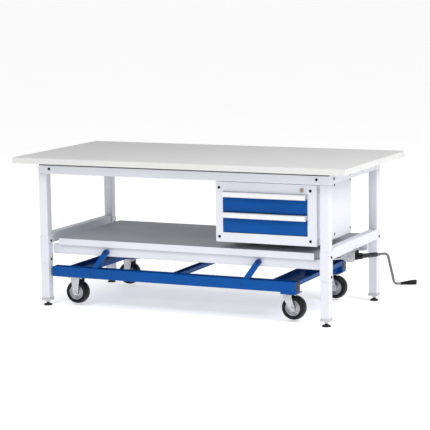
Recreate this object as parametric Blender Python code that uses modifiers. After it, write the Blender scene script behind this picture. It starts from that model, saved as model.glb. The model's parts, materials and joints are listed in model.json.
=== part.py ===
"""A workbench on levelling feet, with two drawers, a lower shelf and casters lowered by a crank.

Metres, +Z up. +X runs along the worktop towards the crank and +Y to the back. Lengths below are from the
middle of the worktop; one empty then moves the bench so that the origin is the middle of its whole box, on
the floor. Each body that moves hangs on an empty at its joint.
"""

import math

import bmesh
import bpy
from mathutils import Matrix, Vector

GAP = 0.0003  # between pieces that touch on the real bench
CORNER = 0.003  # outer radius of a folded or drawn steel corner
ROUND_SIDES = 16

# Worktop
TOP_LENGTH = 2.000
TOP_DEPTH = 1.000
TOP_Z = 0.860
TOP_THICKNESS = 0.033

# Frame: legs, top rails and lower beams
FRAME_X = 0.879  # outer faces of the legs
FRAME_Y = 0.416
LEG = 0.050
TUBE_WALL = 0.002
SLEEVE = 0.003  # how far the sleeve and the foot cap stand out from the leg
SLEEVE_Z = (0.250, 0.405)
LEG_BOTTOM_Z = 0.031
CAP_Z = (0.030, 0.045)
RAIL_Z = (0.763, 0.811)
PACKING_WIDTH = 0.044
SIDE_BEAM_Z = (0.360, 0.418)
SIDE_BEAM_WIDTH = 0.045
LOWER_BEAM_Z = (0.298, 0.352)
LOWER_BEAM_FACE_Y = 0.360
LOWER_BEAM_DEPTH = 0.040
BEAM_WALL = 0.0025

# Shelf: a tray turned upside down, its long edges folded back in
SHELF_X = 0.780
SHELF_Y = 0.375
SHELF_Z = 0.390
SHELF_WALL = 0.002
SHELF_RETURN = 0.045

# Levelling feet
FOOT_RADIUS = 0.025
STEM_RADIUS = 0.006
STEM_TOP_Z = 0.100
STEM_SIDES = 12

# Cabinet and drawers
CABINET_X = (0.220, 0.807)
CABINET_Z = (0.430, 0.760)
CABINET_FRONT_Y = -0.405
CABINET_BACK_Y = 0.135
FRAME_THICKNESS = 0.012
SHEET = 0.0015
MOUTH_X = (0.262, 0.754)
MOUTH_Z = (0.482, 0.707)
HANGER_WIDTH = 0.030
SPACER_RADIUS = 0.007
SPACER_Y = -0.381
SPACER_Z = (0.460, 0.730)
LOCK_X = 0.722
LOCK_Z = 0.731
LOCK_RADIUS = 0.009
DRAWERS = {"lower": 0.4855, "upper": 0.5980}  # bottom of each drawer front
DRAWER_FRONT_HEIGHT = 0.0785
DRAWER_SIDE_GAP = 0.0025
DRAWER_BOX_INSET = 0.0135
DRAWER_BOX_BACK_Y = 0.108
DRAWER_BOX_HEIGHT = 0.088
HANDLE_HEIGHT = 0.0275
HANDLE_REACH = 0.0395
HANDLE_WALL = 0.002
RUNNER_HEIGHT = 0.015

# Lift arms, which swing from the lower beams and carry the chassis
ARM_LENGTH = 0.160
ARM_TILT = math.radians(36)
ARM_TOP_X = {"left": -0.4755, "right": 0.4575}
ARM_TOP_Z = 0.326
ARM_RADIUS = 0.015
ARM_Y = 0.378
ARM_THICKNESS = 0.022
PIVOT_RADIUS = 0.006
RUNNING = 0.0004  # clearance between a pin and its hole, on the radius
HEAD_RADIUS = 0.010

# Caster chassis
CHASSIS_X = (-0.817, 0.681)
CHASSIS_Y = (0.335, 0.395)
CHASSIS_Z = (0.170, 0.228)
CHASSIS_WALL = 0.003
CROSS_Z = 0.203
CROSS_X = {"left": (-0.735, -0.595), "middle": (-0.078, -0.033), "right": (0.524, 0.680)}
PAD_X = (0.590, 0.681)  # pad under the right end of each chassis rail
PAD_Z = 0.160
SEAT_HALF_LENGTH = 0.040
SEAT_DEPTH = 0.050
CHEEK_Y = 0.024
CHEEK_WALL = 0.004
CHEEK_FOOT = 0.035
CHEEK_RADIUS = 0.018

# Casters
WHEEL_RADIUS = 0.068
WHEEL_HALF_WIDTH = 0.030
WHEEL_Y = 0.325
HUB_Z = 0.078
TYRE_SHOULDER = 0.009
TYRE_SEAT = 0.021  # half of the width that the tyre sits on
RIM_RADIUS = 0.042
RIM_WALL = 0.005
DISC_HALF = 0.006
HUB_RADIUS = 0.016
AXLE_RADIUS = 0.006
AXLE_END = 0.006  # how far the axle's head reaches past the fork's middle
FIXED_HUB_X = -0.690
FIXED_PLATE_HALF = (0.050, 0.045)
KINGPIN_X = 0.616
TRAIL = 0.028
FORK_GAP = 0.003
FORK_WALL = 0.003
FORK_HALF = 0.026
FORK_DROP = 0.014  # straight part of a fork's side before it tapers
FORK_EYE = 0.017
CASTER_PLATE = 0.004
RACE_HEIGHT = 0.003
RACE_RADIUS = 0.025
CROWN = 0.003

# Crank, spindle and nut
SPINDLE_PIVOT = Vector((0.850, 0, 0.315))
NUT_PIVOT = Vector((0.625, 0, 0.2814))
SPINDLE_TILT = math.atan2(SPINDLE_PIVOT.z - NUT_PIVOT.z, SPINDLE_PIVOT.x - NUT_PIVOT.x)
NUT_REACH = (SPINDLE_PIVOT - NUT_PIVOT).length
SPINDLE_RADIUS = 0.008
BRACKET_X = (0.780, 0.888)
BRACKET_Y = 0.035
BRACKET_WALL = 0.003
BRACKET_FOOT_Z = 0.292
TRUNNION = (0.018, 0.014)  # half of its length and of its height
TRUNNION_STUB = 0.039
NUT_HALF = 0.015
NUT_HALF_WIDTH = 0.0215
NUT_STUB = 0.030
THREAD_SPARE = 0.025  # spindle left beyond the nut
HOUSING_END = 0.071  # along the spindle, from its pivot
HOUSING_RADIUS = 0.0185
HOUSING_NOSE = 0.0165
SOCKET_RADIUS = 0.013
SOCKET_DEPTH_END = 0.116  # where the spindle ends inside the socket
SOCKET_END = 0.162
CRANK_BEND = 0.2174
CRANK_ARM = 0.1712
CRANK_SPLAY = 0.0148
CRANK_RADIUS = 0.007
CRANK_EASE = 0.020  # bend radius of the rod's middle line
ROD_OVERLAP = 0.010
PIN_RADIUS = 0.005
GRIP_START = 0.272
GRIP_END = 0.3605
GRIP_RADIUS = 0.014
GRIP_WAIST = 0.009
GRIP_NOSE = 0.010
GRIP_HEAD = 0.003
GRIP_HEAD_RADIUS = 0.008

# The crank's grip reaches past the worktop, so the middle of the box isn't the middle of the worktop.
CRANK_TIP_X = (
    SPINDLE_PIVOT.x
    + (GRIP_END + GRIP_HEAD) * math.cos(SPINDLE_TILT)
    + (CRANK_ARM + GRIP_HEAD_RADIUS) * math.sin(SPINDLE_TILT)
)
BENCH_SHIFT = (TOP_LENGTH / 2 - CRANK_TIP_X) / 2

SIDES = {
    "-x": Vector((-1, 0, 0)),
    "+x": Vector((1, 0, 0)),
    "-y": Vector((0, -1, 0)),
    "+y": Vector((0, 1, 0)),
    "-z": Vector((0, 0, -1)),
    "+z": Vector((0, 0, 1)),
}
ENDS = {"left": -1, "right": 1}
FACES = {"front": -1, "back": 1}

for old in list(bpy.data.objects):
    bpy.data.objects.remove(old)
PARTS = bpy.data.collections.new("workbench")
HELPERS = bpy.data.collections.new("workbench_cutters")
for collection in (PARTS, HELPERS):
    bpy.context.scene.collection.children.link(collection)


def material(name, colour, roughness, metallic=0.0):
    made = bpy.data.materials.new(name)
    made.use_nodes = True
    shader = made.node_tree.nodes["Principled BSDF"]
    shader.inputs["Base Color"].default_value = (*colour, 1)
    shader.inputs["Roughness"].default_value = roughness
    shader.inputs["Metallic"].default_value = metallic
    return made


WHITE_COAT = material("white_coat", (0.74, 0.76, 0.82), 0.40)
BLUE_COAT = material("blue_coat", (0.006, 0.11, 0.40), 0.35)
LAMINATE = material("grey_laminate", (0.58, 0.58, 0.58), 0.50)
PACKING = material("dark_packing", (0.03, 0.03, 0.035), 0.80)
SHELF_COAT = material("shelf_coat", (0.62, 0.64, 0.68), 0.45)
ZINC = material("zinc_plate", (0.60, 0.61, 0.62), 0.35, 0.9)
BRIGHT_STEEL = material("bright_steel", (0.55, 0.55, 0.56), 0.25, 1.0)
BLACK_PLASTIC = material("black_plastic", (0.015, 0.015, 0.017), 0.40)
TYRE_RUBBER = material("tyre_rubber", (0.012, 0.012, 0.013), 0.70)
NICKEL = material("nickel", (0.60, 0.56, 0.48), 0.25, 1.0)


# Bodies: each moving one has an empty on its joint, in the frame of the body that carries it.
PLACES = {}
EMPTIES = {}


def body(name, place, parent=None):
    """Adds the empty of one body. place is its matrix measured from the middle of the worktop."""
    empty = bpy.data.objects.new(f"{name}_body", None)
    PARTS.objects.link(empty)
    if parent:
        empty.parent = EMPTIES[parent]
        empty.matrix_basis = PLACES[parent].inverted() @ place
    else:
        empty.location.x = BENCH_SHIFT
    PLACES[name] = place
    EMPTIES[name] = empty


def at(x, y, z):
    return Matrix.Translation((x, y, z))


TILTED = Matrix.Rotation(-SPINDLE_TILT, 4, "Y")
SPINDLE = Matrix.Translation(SPINDLE_PIVOT) @ TILTED
NUT = Matrix.Translation(NUT_PIVOT) @ TILTED
GRIP = SPINDLE @ at(0, 0, -CRANK_ARM)


def set_up(obj, name, finish, owner):
    """Names an object, gives it its material and hangs it on its body's empty."""
    obj.name = name
    obj.parent = EMPTIES[owner]
    obj.data.materials.append(finish)
    PARTS.objects.link(obj)
    return obj


def add(name, mesh, finish, owner="bench", frame=None):
    """One sub-part. The mesh is measured in frame, or from the middle of the worktop."""
    frame = frame or Matrix.Identity(4)
    mesh.transform(PLACES[owner].inverted() @ frame)
    return set_up(bpy.data.objects.new(name, mesh), name, finish, owner)


def combine(obj, mesh, operation, frame=None):
    """Joins a mesh to an object or cuts it away. It is measured as in add."""
    frame = frame or Matrix.Identity(4)
    owner = obj.parent.name.removesuffix("_body")
    mesh.transform(PLACES[owner].inverted() @ frame)
    other = bpy.data.objects.new(f"{obj.name}_{operation.lower()}_{len(obj.modifiers)}", mesh)
    other.parent = obj.parent
    other.hide_render = True
    other.display_type = "WIRE"
    HELPERS.objects.link(other)
    modifier = obj.modifiers.new(operation.title(), "BOOLEAN")
    modifier.operation = operation
    modifier.object = other


def join(obj, mesh, frame=None):
    combine(obj, mesh, "UNION", frame)


def cut(obj, mesh, frame=None):
    combine(obj, mesh, "DIFFERENCE", frame)


def finished(shape, name="shape"):
    mesh = bpy.data.meshes.new(name)
    shape.to_mesh(mesh)
    shape.free()
    return mesh


def box(low, high, bevel=0.0, open_sides=()):
    """A box between two corners, without its open sides, its other edges bevelled, in two steps if round."""
    low, high = Vector(low), Vector(high)
    shape = bmesh.new()
    bmesh.ops.create_cube(shape, size=1)
    bmesh.ops.scale(shape, vec=high - low, verts=shape.verts)
    bmesh.ops.translate(shape, vec=(low + high) / 2, verts=shape.verts)
    for side in open_sides:
        faces = [face for face in shape.faces if face.normal.dot(SIDES[side]) > 0.9]
        bmesh.ops.delete(shape, geom=faces, context="FACES")
    if bevel:
        edges = [edge for edge in shape.edges if len(edge.link_faces) == 2]
        steps = 2 if bevel >= CORNER else 1
        bmesh.ops.bevel(shape, geom=edges, offset=bevel, segments=steps, profile=0.5, affect="EDGES")
    return finished(shape)


def thicken(obj, wall):
    """Gives an open sheet its thickness, inwards."""
    modifier = obj.modifiers.new("Wall", "SOLIDIFY")
    modifier.thickness = wall
    modifier.offset = -1
    modifier.use_even_offset = True
    return obj


def shell(name, low, high, open_sides, wall, finish, owner="bench", bevel=CORNER, frame=None):
    """A tube, channel or tray: a thin-walled box without its open sides."""
    return thicken(add(name, box(low, high, bevel, open_sides), finish, owner, frame), wall)


def cylinder(start, end, radius, sides=12):
    start, end = Vector(start), Vector(end)
    shape = bmesh.new()
    bmesh.ops.create_cone(
        shape,
        cap_ends=True,
        segments=sides,
        radius1=radius,
        radius2=radius,
        depth=(end - start).length,
    )
    turn = Vector((0, 0, 1)).rotation_difference(end - start).to_matrix().to_4x4()
    bmesh.ops.transform(shape, matrix=Matrix.Translation((start + end) / 2) @ turn, verts=shape.verts)
    return finished(shape)


def arc(centre, radius, start, end, steps):
    """Points on an arc, its angles in degrees."""
    angles = [math.radians(start + (end - start) * i / steps) for i in range(steps + 1)]
    return [(centre[0] + radius * math.cos(a), centre[1] + radius * math.sin(a)) for a in angles]


def as_mesh(obj):
    """Turns a curve object into a mesh with its caps welded, and removes the curve."""
    bpy.context.scene.collection.objects.link(obj)
    graph = bpy.context.evaluated_depsgraph_get()
    mesh = bpy.data.meshes.new_from_object(obj.evaluated_get(graph))
    shape = bmesh.new()
    shape.from_mesh(mesh)
    bmesh.ops.remove_doubles(shape, verts=shape.verts, dist=1e-6)
    bpy.data.objects.remove(obj)
    bpy.data.meshes.remove(mesh)
    return finished(shape)


FACING_FRONT = Matrix.Rotation(math.radians(90), 4, "X")  # a flat outline's x and y become X and Z
FACING_SIDE = Matrix.Rotation(math.radians(90), 4, "Z") @ FACING_FRONT  # and here Y and Z


def plate(loops, thickness, place):
    """A flat outline with the later loops as holes, made solid evenly about its plane."""
    curve = bpy.data.curves.new("outline", "CURVE")
    curve.dimensions = "2D"
    curve.fill_mode = "BOTH"
    curve.extrude = thickness / 2
    for loop in loops:
        spline = curve.splines.new("POLY")
        spline.points.add(len(loop) - 1)
        for point, (x, y) in zip(spline.points, loop):
            point.co = (x, y, 0, 1)
        spline.use_cyclic_u = True
    mesh = as_mesh(bpy.data.objects.new("outline", curve))
    mesh.transform(place)
    return mesh


def rod(points, radius):
    """A round bar through points."""
    curve = bpy.data.curves.new("rod", "CURVE")
    curve.dimensions = "3D"
    curve.bevel_depth = radius
    curve.bevel_resolution = 3
    curve.use_fill_caps = True
    spline = curve.splines.new("POLY")
    spline.points.add(len(points) - 1)
    for point, place in zip(spline.points, points):
        point.co = (*place, 1)
    return as_mesh(bpy.data.objects.new("rod", curve))


def turned(name, profile, finish, owner, place, steps, closed=False):
    """A turned piece: (radius, height) points down its outer side, swept about place's own Z."""
    mesh = bpy.data.meshes.new(name)
    edges = [(i, i + 1) for i in range(len(profile) - 1)]
    if closed:
        edges.append((len(profile) - 1, 0))
    mesh.from_pydata([(radius, 0, height) for radius, height in profile], edges, [])
    obj = set_up(bpy.data.objects.new(name, mesh), name, finish, owner)
    obj.matrix_basis = PLACES[owner].inverted() @ place
    modifier = obj.modifiers.new("Turn", "SCREW")
    modifier.steps = steps
    modifier.render_steps = steps
    modifier.use_merge_vertices = True
    modifier.merge_threshold = 0.00001
    modifier.use_smooth_shade = True
    return obj


def make_bodies():
    body("bench", Matrix.Identity(4))
    for side, top_x in ARM_TOP_X.items():
        for face, sign in FACES.items():
            body(f"lift_arm_{face}_{side}", at(top_x, sign * ARM_Y, ARM_TOP_Z), "bench")
    low_x = ARM_TOP_X["left"] - ARM_LENGTH * math.sin(ARM_TILT)
    low_z = ARM_TOP_Z - ARM_LENGTH * math.cos(ARM_TILT)
    body("chassis", at(low_x, -ARM_Y, low_z), "lift_arm_front_left")
    body("nut", NUT, "chassis")
    body("trunnion", SPINDLE, "bench")
    body("crank", SPINDLE, "trunnion")
    body("grip", GRIP, "crank")
    for face, sign in FACES.items():
        y = sign * WHEEL_Y
        body(f"swivel_{face}", at(KINGPIN_X, y, PAD_Z), "chassis")
        body(f"wheel_{face}_right", at(KINGPIN_X + TRAIL, y, HUB_Z), f"swivel_{face}")
        body(f"wheel_{face}_left", at(FIXED_HUB_X, y, HUB_Z), "chassis")
        for end, way in ENDS.items():
            leg = leg_centre(way, sign)
            body(f"foot_{face}_{end}", at(leg.x, leg.y, 0), "bench")
    for level, bottom in DRAWERS.items():
        body(f"drawer_{level}", at(sum(MOUTH_X) / 2, CABINET_FRONT_Y, bottom), "bench")
    body("lock", at(LOCK_X, CABINET_FRONT_Y, LOCK_Z), "bench")


def leg_centre(way, sign):
    return Vector((way * (FRAME_X - LEG / 2), sign * (FRAME_Y - LEG / 2), 0))


def make_worktop():
    half_x, half_y = TOP_LENGTH / 2, TOP_DEPTH / 2
    low_z = TOP_Z - TOP_THICKNESS
    add("worktop", box((-half_x, -half_y, low_z), (half_x, half_y, TOP_Z), 0.0015), LAMINATE)
    outer = Vector((FRAME_X - CORNER, FRAME_Y - CORNER, low_z - GAP))
    low = (-outer.x, -outer.y, RAIL_Z[1] + GAP)
    shell("worktop_packing", low, outer, ("-z", "+z"), PACKING_WIDTH, PACKING, bevel=0)


def make_rails():
    """Front and back rails run over the legs, and the side rails fit between them."""
    for face, sign in FACES.items():
        y = sorted((sign * FRAME_Y, sign * (FRAME_Y - LEG)))
        low = (-FRAME_X, y[0], RAIL_Z[0])
        shell(f"top_rail_{face}", low, (FRAME_X, y[1], RAIL_Z[1]), ("-x", "+x"), TUBE_WALL, WHITE_COAT)
    for end, way in ENDS.items():
        x = sorted((way * FRAME_X, way * (FRAME_X - LEG)))
        reach = FRAME_Y - LEG - GAP
        low = (x[0], -reach, RAIL_Z[0])
        shell(f"top_rail_{end}", low, (x[1], reach, RAIL_Z[1]), ("-y", "+y"), TUBE_WALL, WHITE_COAT)


def make_legs():
    """Square tubes with a bolted sleeve halfway and a cap at the foot, which the stem screws through."""
    for end, way in ENDS.items():
        for face, sign in FACES.items():
            leg = at(*leg_centre(way, sign))
            half = LEG / 2
            low = (-half, -half, LEG_BOTTOM_Z)
            high = (half, half, RAIL_Z[0] - GAP)
            name = f"leg_{face}_{end}"
            post = shell(name, low, high, ("-z", "+z"), TUBE_WALL, WHITE_COAT, frame=leg)
            wide = half + SLEEVE
            inner = half - TUBE_WALL / 2
            for bottom, top in (SLEEVE_Z, CAP_Z):
                band = box((-wide, -wide, bottom), (wide, wide, top), CORNER + SLEEVE, ("-z", "+z"))
                sleeve = bpy.data.objects.new("band", band)
                thicken(sleeve, wide - inner)
                join(post, as_mesh(sleeve), leg)
            floor_z = LEG_BOTTOM_Z + TUBE_WALL
            join(post, box((-inner, -inner, floor_z), (inner, inner, floor_z + TUBE_WALL * 2)), leg)
            hole = STEM_RADIUS + RUNNING
            cut(post, cylinder((0, 0, 0), (0, 0, STEM_TOP_Z), hole, STEM_SIDES), leg)


def make_feet():
    """Levelling feet: a pad with a hexagon on it and a stem that runs up into the leg."""
    profile = [
        (0, STEM_TOP_Z),
        (STEM_RADIUS, STEM_TOP_Z),
        (STEM_RADIUS, 0.028),
        (0.0105, 0.028),
        (0.0105, 0.018),
        (0.0075, 0.018),
        (0.0075, 0.014),
        (0.0205, 0.009),
        (FOOT_RADIUS, 0.006),
        (FOOT_RADIUS, 0),
        (0, 0),
    ]
    for end, way in ENDS.items():
        for face, sign in FACES.items():
            place = at(*leg_centre(way, sign))
            turned(f"levelling_foot_{face}_{end}", profile, ZINC, f"foot_{face}_{end}", place, STEM_SIDES)


def make_beams():
    side_reach = FRAME_Y - LEG - SLEEVE - GAP
    for end, way in ENDS.items():
        x = sorted((way * FRAME_X, way * (FRAME_X - SIDE_BEAM_WIDTH)))
        low = (x[0], -side_reach, SIDE_BEAM_Z[0])
        high = (x[1], side_reach, SIDE_BEAM_Z[1])
        shell(f"side_beam_{end}", low, high, ("-y", "+y"), TUBE_WALL, WHITE_COAT)
    reach = FRAME_X - LEG - SLEEVE - GAP
    for face, sign in FACES.items():
        y = sorted((sign * LOWER_BEAM_FACE_Y, sign * (LOWER_BEAM_FACE_Y - LOWER_BEAM_DEPTH)))
        low = (-reach, y[0], LOWER_BEAM_Z[0])
        high = (reach, y[1], LOWER_BEAM_Z[1])
        inner_side = "+y" if sign < 0 else "-y"
        open_sides = ("-x", "+x", inner_side)
        beam = shell(f"lower_beam_{face}", low, high, open_sides, BEAM_WALL, WHITE_COAT)
        for x in ARM_TOP_X.values():
            root = sign * (LOWER_BEAM_FACE_Y - BEAM_WALL / 2)
            pivot_pin(beam, x, ARM_TOP_Z, root, sign * (ARM_Y + ARM_THICKNESS / 2 + GAP), sign)


def pivot_pin(obj, x, z, root_y, head_y, sign):
    """A shouldered bolt along Y that an arm turns on, joined to the piece that holds it."""
    join(obj, cylinder((x, root_y, z), (x, head_y + sign * 0.001, z), PIVOT_RADIUS))
    join(obj, cylinder((x, head_y, z), (x, head_y + sign * 0.005, z), HEAD_RADIUS, 12))


def make_shelf():
    low_z = LOWER_BEAM_Z[1] + GAP
    low = (-SHELF_X, -SHELF_Y, low_z)
    shelf = shell("shelf", low, (SHELF_X, SHELF_Y, SHELF_Z), ("-z",), SHELF_WALL, SHELF_COAT)
    for sign in FACES.values():
        y = sorted((sign * (SHELF_Y - SHELF_WALL / 2), sign * (SHELF_Y - SHELF_RETURN)))
        end = SHELF_X - SHELF_WALL / 2
        join(shelf, box((-end, y[0], low_z), (end, y[1], low_z + SHELF_WALL)))


def make_cabinet():
    low_x, high_x = CABINET_X[0] + 0.002, CABINET_X[1] - 0.002
    low_z, high_z = CABINET_Z[0] + 0.002, CABINET_Z[1] - 0.002
    front = CABINET_FRONT_Y + FRAME_THICKNESS + GAP
    low = (low_x, front, low_z)
    high = (high_x, CABINET_BACK_Y, high_z)
    casing = shell("cabinet_shell", low, high, ("-y",), SHEET, WHITE_COAT, bevel=0.002)
    under_top = TOP_Z - TOP_THICKNESS - GAP
    for x in (low_x + 0.010, high_x - 0.010 - HANGER_WIDTH):
        start = (x, -0.360, high_z - SHEET / 2)
        channel = box(start, (x + HANGER_WIDTH, 0.120, under_top), 0, ("-y", "+y"))
        hanger = thicken(bpy.data.objects.new("hanger", channel), TUBE_WALL)
        join(casing, as_mesh(hanger))
    for z in SPACER_Z:
        wall = FRAME_X - LEG - GAP
        join(casing, cylinder((high_x - SHEET / 2, SPACER_Y, z), (wall, SPACER_Y, z), SPACER_RADIUS, 12))
    low = (CABINET_X[0], CABINET_FRONT_Y, CABINET_Z[0])
    high = (CABINET_X[1], CABINET_FRONT_Y + FRAME_THICKNESS, CABINET_Z[1])
    frame = add("cabinet_front_frame", box(low, high, 0.0015), WHITE_COAT)
    cut(frame, box((MOUTH_X[0], -1, MOUTH_Z[0]), (MOUTH_X[1], 0, MOUTH_Z[1])))
    cut(frame, cylinder((LOCK_X, -1, LOCK_Z), (LOCK_X, 0, LOCK_Z), LOCK_RADIUS + RUNNING))


def make_runners():
    """A rail for each drawer on a plate fixed to the cabinet's side."""
    walls = (CABINET_X[0] + 0.002 + SHEET + GAP, CABINET_X[1] - 0.002 - SHEET - GAP)
    boxes = (MOUTH_X[0] + DRAWER_BOX_INSET - 0.0007, MOUTH_X[1] - DRAWER_BOX_INSET + 0.0007)
    for (end, way), wall, side in zip(ENDS.items(), walls, boxes):
        x = sorted((wall, wall - way * 0.002))
        low = (x[0], -0.370, MOUTH_Z[0] - 0.010)
        runner = add(f"drawer_runner_{end}", box(low, (x[1], 0.120, MOUTH_Z[1] - 0.010)), ZINC)
        for bottom in DRAWERS.values():
            x = sorted((wall - way * 0.001, side))
            z = bottom + DRAWER_FRONT_HEIGHT / 2
            join(runner, box((x[0], -0.370, z), (x[1], 0.120, z + RUNNER_HEIGHT)))


def handle_outline():
    """A grip rail seen from its end: a rounded hook, open below, with its back against the drawer."""
    reach, height, wall = HANDLE_REACH, HANDLE_HEIGHT, HANDLE_WALL
    bend = 0.007
    outer = arc((-reach + bend, height - bend), bend, 90, 180, 3)
    inner = arc((-reach + bend, height - bend), bend - wall, 180, 90, 3)
    back = [(-wall, height - wall), (-wall, -0.001), (0, -0.001), (0, height)]
    return outer + [(-reach, 0), (-reach + wall, 0)] + inner + back


def make_drawers():
    for level, bottom in DRAWERS.items():
        owner = f"drawer_{level}"
        low_x, high_x = MOUTH_X[0] + DRAWER_SIDE_GAP, MOUTH_X[1] - DRAWER_SIDE_GAP
        front_y, back_y = CABINET_FRONT_Y + 0.0015, CABINET_FRONT_Y + 0.015
        top = bottom + DRAWER_FRONT_HEIGHT
        add(f"{owner}_front", box((low_x, front_y, bottom), (high_x, back_y, top), 0.001), BLUE_COAT, owner)
        inset = DRAWER_BOX_INSET
        low = (MOUTH_X[0] + inset, back_y + GAP, bottom + 0.004)
        high = (MOUTH_X[1] - inset, DRAWER_BOX_BACK_Y, bottom + 0.004 + DRAWER_BOX_HEIGHT)
        shell(f"{owner}_box", low, high, ("+z",), SHEET, SHELF_COAT, owner, bevel=0)
        place = at((low_x + high_x) / 2, back_y, top + 0.0015) @ FACING_SIDE
        add(f"{owner}_handle", plate([handle_outline()], high_x - low_x, place), WHITE_COAT, owner)


def make_lock():
    """The lock's barrel, with the cam that turns behind the frame."""
    place = PLACES["lock"] @ Matrix.Rotation(math.radians(90), 4, "X")
    profile = [
        (0, 0.0065),
        (0.0105, 0.0065),
        (0.0115, 0.0055),
        (0.0115, GAP),
        (LOCK_RADIUS, GAP),
        (LOCK_RADIUS, -0.0145),
        (0, -0.0145),
    ]
    barrel = turned("lock_barrel", profile, NICKEL, "lock", place, ROUND_SIDES)
    cam_y = CABINET_FRONT_Y + FRAME_THICKNESS + 0.0005
    low = Vector((LOCK_X - 0.004, cam_y, LOCK_Z - 0.005))
    high = Vector((LOCK_X + 0.018, cam_y + 0.002, LOCK_Z + 0.005))
    join(barrel, box(low, high))


def make_chassis():
    """Two long channels, open upwards, joined by three shallow ones."""
    low_z = ARM_TOP_Z - ARM_LENGTH * math.cos(ARM_TILT)
    for face, sign in FACES.items():
        y = sorted((sign * CHASSIS_Y[0], sign * CHASSIS_Y[1]))
        low = (CHASSIS_X[0], y[0], CHASSIS_Z[0])
        high = (CHASSIS_X[1], y[1], CHASSIS_Z[1])
        name = f"chassis_rail_{face}"
        rail = shell(name, low, high, ("-x", "+x", "+z"), CHASSIS_WALL, BLUE_COAT, "chassis")
        join(rail, box((PAD_X[0], y[0], PAD_Z), (PAD_X[1], y[1], CHASSIS_Z[0] + CHASSIS_WALL / 2), 0.001))
        for top_x in ARM_TOP_X.values():
            x = top_x - ARM_LENGTH * math.sin(ARM_TILT)
            root = sign * (CHASSIS_Y[1] - CHASSIS_WALL / 2)
            tip = sign * (ARM_Y - ARM_THICKNESS / 2 - 0.003)
            join(rail, cylinder((x, root, low_z), (x, tip, low_z), PIVOT_RADIUS))
    reach = CHASSIS_Y[0] - GAP
    for end, x in CROSS_X.items():
        low = (x[0], -reach, CROSS_Z)
        high = (x[1], reach, CHASSIS_Z[1])
        open_sides = ("-y", "+y", "+z")
        cross = shell(f"chassis_cross_{end}", low, high, open_sides, CHASSIS_WALL, BLUE_COAT, "chassis")
        if end != "middle":
            caster_seats(cross, end)
        if end == "right":
            nut_cheeks(cross)


def caster_seats(cross, end):
    """Short boxes under a cross channel that carry the inner half of each caster."""
    reach = CHASSIS_Y[0] - GAP
    middle = KINGPIN_X if end == "right" else FIXED_HUB_X
    start = PAD_X[0] if end == "right" else middle - SEAT_HALF_LENGTH
    bottom = PAD_Z if end == "right" else CHASSIS_Z[0]
    for sign in FACES.values():
        y = sorted((sign * reach, sign * (reach - SEAT_DEPTH)))
        high = (middle + SEAT_HALF_LENGTH, y[1], CROSS_Z + CHASSIS_WALL / 2)
        join(cross, box((start, y[0], bottom), high, 0.002))


def nut_cheeks(cross):
    """Two ears on the cross channel that the nut tilts between."""
    base = CROSS_Z + CHASSIS_WALL / 2
    x, z = NUT_PIVOT.x, NUT_PIVOT.z
    outline = [(x - CHEEK_FOOT, base), (x + CHEEK_FOOT, base)] + arc((x, z), CHEEK_RADIUS, 20, 160, 6)
    hole = arc((x, z), PIVOT_RADIUS + RUNNING, 0, 330, 11)
    for sign in FACES.values():
        place = at(0, sign * CHEEK_Y, 0) @ FACING_FRONT
        join(cross, plate([outline, hole], CHEEK_WALL, place))


def make_arms():
    """Flat bars with round ends and a hole at each pivot, leaning left from the lower beams."""
    foot = (-ARM_LENGTH * math.sin(ARM_TILT), -ARM_LENGTH * math.cos(ARM_TILT))
    lean = math.degrees(ARM_TILT)
    outline = arc((0, 0), ARM_RADIUS, -lean, 180 - lean, 6)
    outline += arc(foot, ARM_RADIUS, 180 - lean, 360 - lean, 6)
    holes = [arc(centre, PIVOT_RADIUS + RUNNING, 0, 330, 11) for centre in ((0, 0), foot)]
    for side, top_x in ARM_TOP_X.items():
        for face, sign in FACES.items():
            owner = f"lift_arm_{face}_{side}"
            place = at(top_x, sign * ARM_Y, ARM_TOP_Z) @ FACING_FRONT
            add(owner, plate([outline, *holes], ARM_THICKNESS, place), BLUE_COAT, owner)


def fork_leg(top_z, trail):
    """A fork's side, tapering from its top to round the axle. x is measured from the fork's middle."""
    half, low = FORK_HALF, top_z - FORK_DROP
    outline = [(half, top_z), (-half, top_z), (-half, low)]
    return outline + arc((trail, HUB_Z), FORK_EYE, 200, 340, 6) + [(half, low)]


def make_fork(fork, middle, y, top_z, trail):
    """Adds the two sides and the axle to a fork's top."""
    side_y = WHEEL_HALF_WIDTH + FORK_GAP + FORK_WALL / 2
    for sign in FACES.values():
        place = at(middle, y + sign * side_y, 0) @ FACING_FRONT
        join(fork, plate([fork_leg(top_z, trail)], FORK_WALL, place))
    reach = side_y + AXLE_END
    hub_x = middle + trail
    join(fork, cylinder((hub_x, y - reach, HUB_Z), (hub_x, y + reach, HUB_Z), AXLE_RADIUS, 12))


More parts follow.
